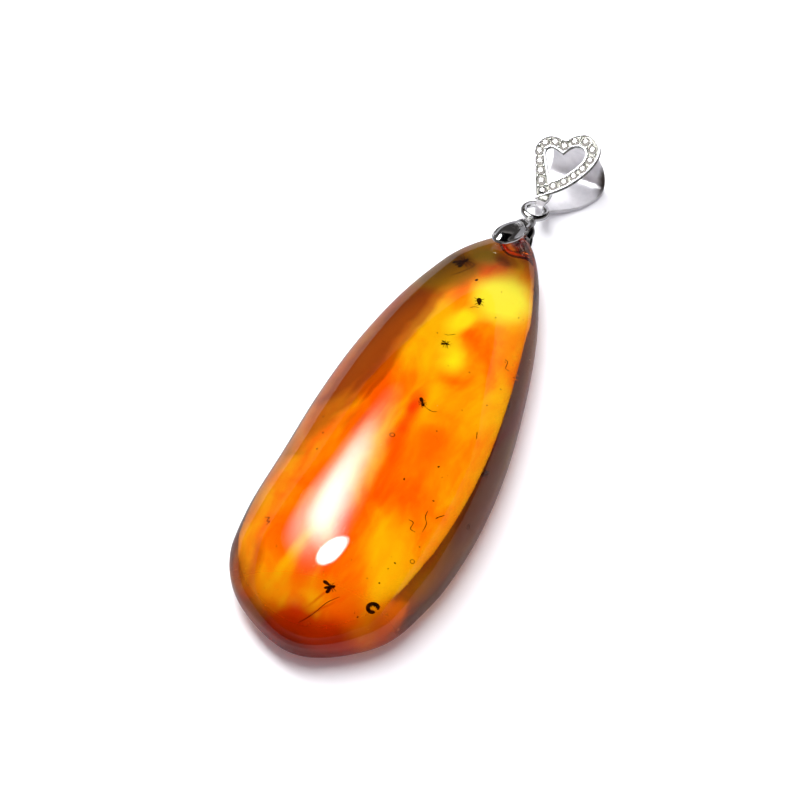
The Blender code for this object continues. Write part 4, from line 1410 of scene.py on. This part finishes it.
def area_light(name, middle, size, power, colour=(1.0, 1.0, 1.0)):
    """A lamp that shines on the middle of the stage. Gloss and the amber don't show the lamp itself."""
    data = bpy.data.lights.new(name, "AREA")
    data.shape = "RECTANGLE"
    data.size = size[0] * MM
    data.size_y = size[1] * MM
    data.energy = power
    data.color = colour
    lamp = bpy.data.objects.new(name, data)
    bpy.context.scene.collection.objects.link(lamp)
    lamp.location = Vector(middle) * MM
    lamp.rotation_euler = look_towards(Vector(middle) * -MM)
    lamp.visible_glossy = lamp.visible_transmission = False


def level_square(name, half, up, corners_round=(0, 1, 2, 3)):
    """A level square around the middle of the stage, in millimetres. It faces up unless turned round."""
    far, level = half * MM, up * MM
    mesh = bpy.data.meshes.new(name)
    corners = [(-far, -far, level), (far, -far, level), (far, far, level), (-far, far, level)]
    mesh.from_pydata(corners, [], [corners_round])
    return mesh


class PENDANT_OT_stage(bpy.types.Operator):
    """Makes the floor, the lights, the surroundings and the camera"""

    bl_idname = "pendant.stage"
    bl_label = "Stage"

    def execute(self, context):
        scene = context.scene
        settings = scene.pendant.stage
        mesh = level_square("floor", FLOOR_HALF, -FLOOR_DROP)
        floor = piece("floor", mesh, [floor_material(settings)], None)
        area_light("strip_light", STRIP_MIDDLE, STRIP_SIZE, settings.strip_power)
        area_light("fill_light", FILL_MIDDLE, FILL_SIZE, settings.fill_power, FILL_COLOUR)
        self.add_panel()
        world = bpy.data.worlds.new("surroundings")
        world.use_nodes = True
        nodes = Nodes(world.node_tree)
        way = nodes.add("ShaderNodeTexCoord", {}, {}, "Generated")
        height = nodes.add("ShaderNodeSeparateXYZ", {}, {"Vector": way}, "Z")
        mirrored = nodes.add("ShaderNodeLightPath", {}, {}, "Is Glossy Ray")
        through = nodes.add("ShaderNodeLightPath", {}, {}, "Is Transmission Ray")
        ceiling = mirrored * nodes.smooth(height, 0.3, 0.8) * settings.high_sky
        strength = ceiling + through * settings.seen_through + settings.sky
        sky = nodes.add("ShaderNodeBackground", {}, {"Color": rgb(*SKY_COLOUR), "Strength": strength})
        nodes.add("ShaderNodeOutputWorld", {}, {"Surface": sky})
        scene.world = world
        self.add_camera(scene)
        scene.view_settings.view_transform = "Standard"
        return {"FINISHED"}

    def add_panel(self):
        """The glowing panel that gloss mirrors where the long lamp is."""
        mesh = level_square("panel", PANEL_HALF, PANEL_HEIGHT, (3, 2, 1, 0))
        mat, nodes = new_material("panel_glow")
        where = nodes.places()
        glow = 0.0
        for (x, y), (wide, long), turn, core, strength in PANEL_GLOWS:
            middle = (x + MIDDLE_ACROSS, y + MIDDLE_ALONG, PANEL_HEIGHT)
            glow = nodes.zone(where, middle, (wide, long, PANEL_HALF), turn, core) * strength + glow
        nodes.finish(nodes.add("ShaderNodeEmission", {}, {"Strength": glow}))
        panel = piece("panel", mesh, [mat], None)
        for ray in ("camera", "diffuse", "transmission", "volume_scatter", "shadow"):
            setattr(panel, "visible_" + ray, False)

    def add_camera(self, scene):
        """The camera at the photograph's viewing angle."""
        azimuth, elevation = math.radians(CAMERA_AZIMUTH), math.radians(CAMERA_ELEVATION)
        back = Vector((
            math.sin(azimuth) * math.cos(elevation),
            -math.cos(azimuth) * math.cos(elevation),
            math.sin(elevation),
        ))
        data = bpy.data.cameras.new("camera")
        data.lens = CAMERA_LENS
        data.sensor_width = CAMERA_SENSOR
        data.clip_start = 0.01
        camera = bpy.data.objects.new("camera", data)
        scene.collection.objects.link(camera)
        camera.location = place(*CAMERA_TARGET) + back * CAMERA_DISTANCE * MM
        camera.rotation_euler = look_towards(-back)
        scene.camera = camera


class PENDANT_PT_sidebar(bpy.types.Panel):
    """Lists the pieces and their settings"""

    bl_label = "Amber pendant"
    bl_space_type = "VIEW_3D"
    bl_region_type = "UI"
    bl_category = "Pendant"

    def draw(self, context):
        layout = self.layout
        for group in ("amber", "stage"):
            settings = getattr(context.scene.pendant, group)
            box = layout.box()
            for name in settings.bl_rna.properties.keys():
                if name not in ("rna_type", "name"):
                    box.prop(settings, name)
        for operator in OPERATORS:
            layout.operator(operator.bl_idname)


OPERATORS = (
    PENDANT_OT_amber,
    PENDANT_OT_insects,
    PENDANT_OT_specks,
    PENDANT_OT_clasp,
    PENDANT_OT_bail,
    PENDANT_OT_stones,
    PENDANT_OT_stage,
)
CLASSES = (AmberSettings, StageSettings, PendantSettings, *OPERATORS, PENDANT_PT_sidebar)


def register():
    for cls in CLASSES:
        bpy.utils.register_class(cls)
    bpy.types.Scene.pendant = PointerProperty(type=PendantSettings)


def unregister():
    del bpy.types.Scene.pendant
    for cls in reversed(CLASSES):
        bpy.utils.unregister_class(cls)


def main():
    register()
    bpy.ops.pendant.amber()
    bpy.ops.pendant.insects()
    bpy.ops.pendant.specks()
    bpy.ops.pendant.clasp()
    bpy.ops.pendant.bail()
    bpy.ops.pendant.stones()
    bpy.ops.pendant.stage()


if __name__ == "__main__":
    main()
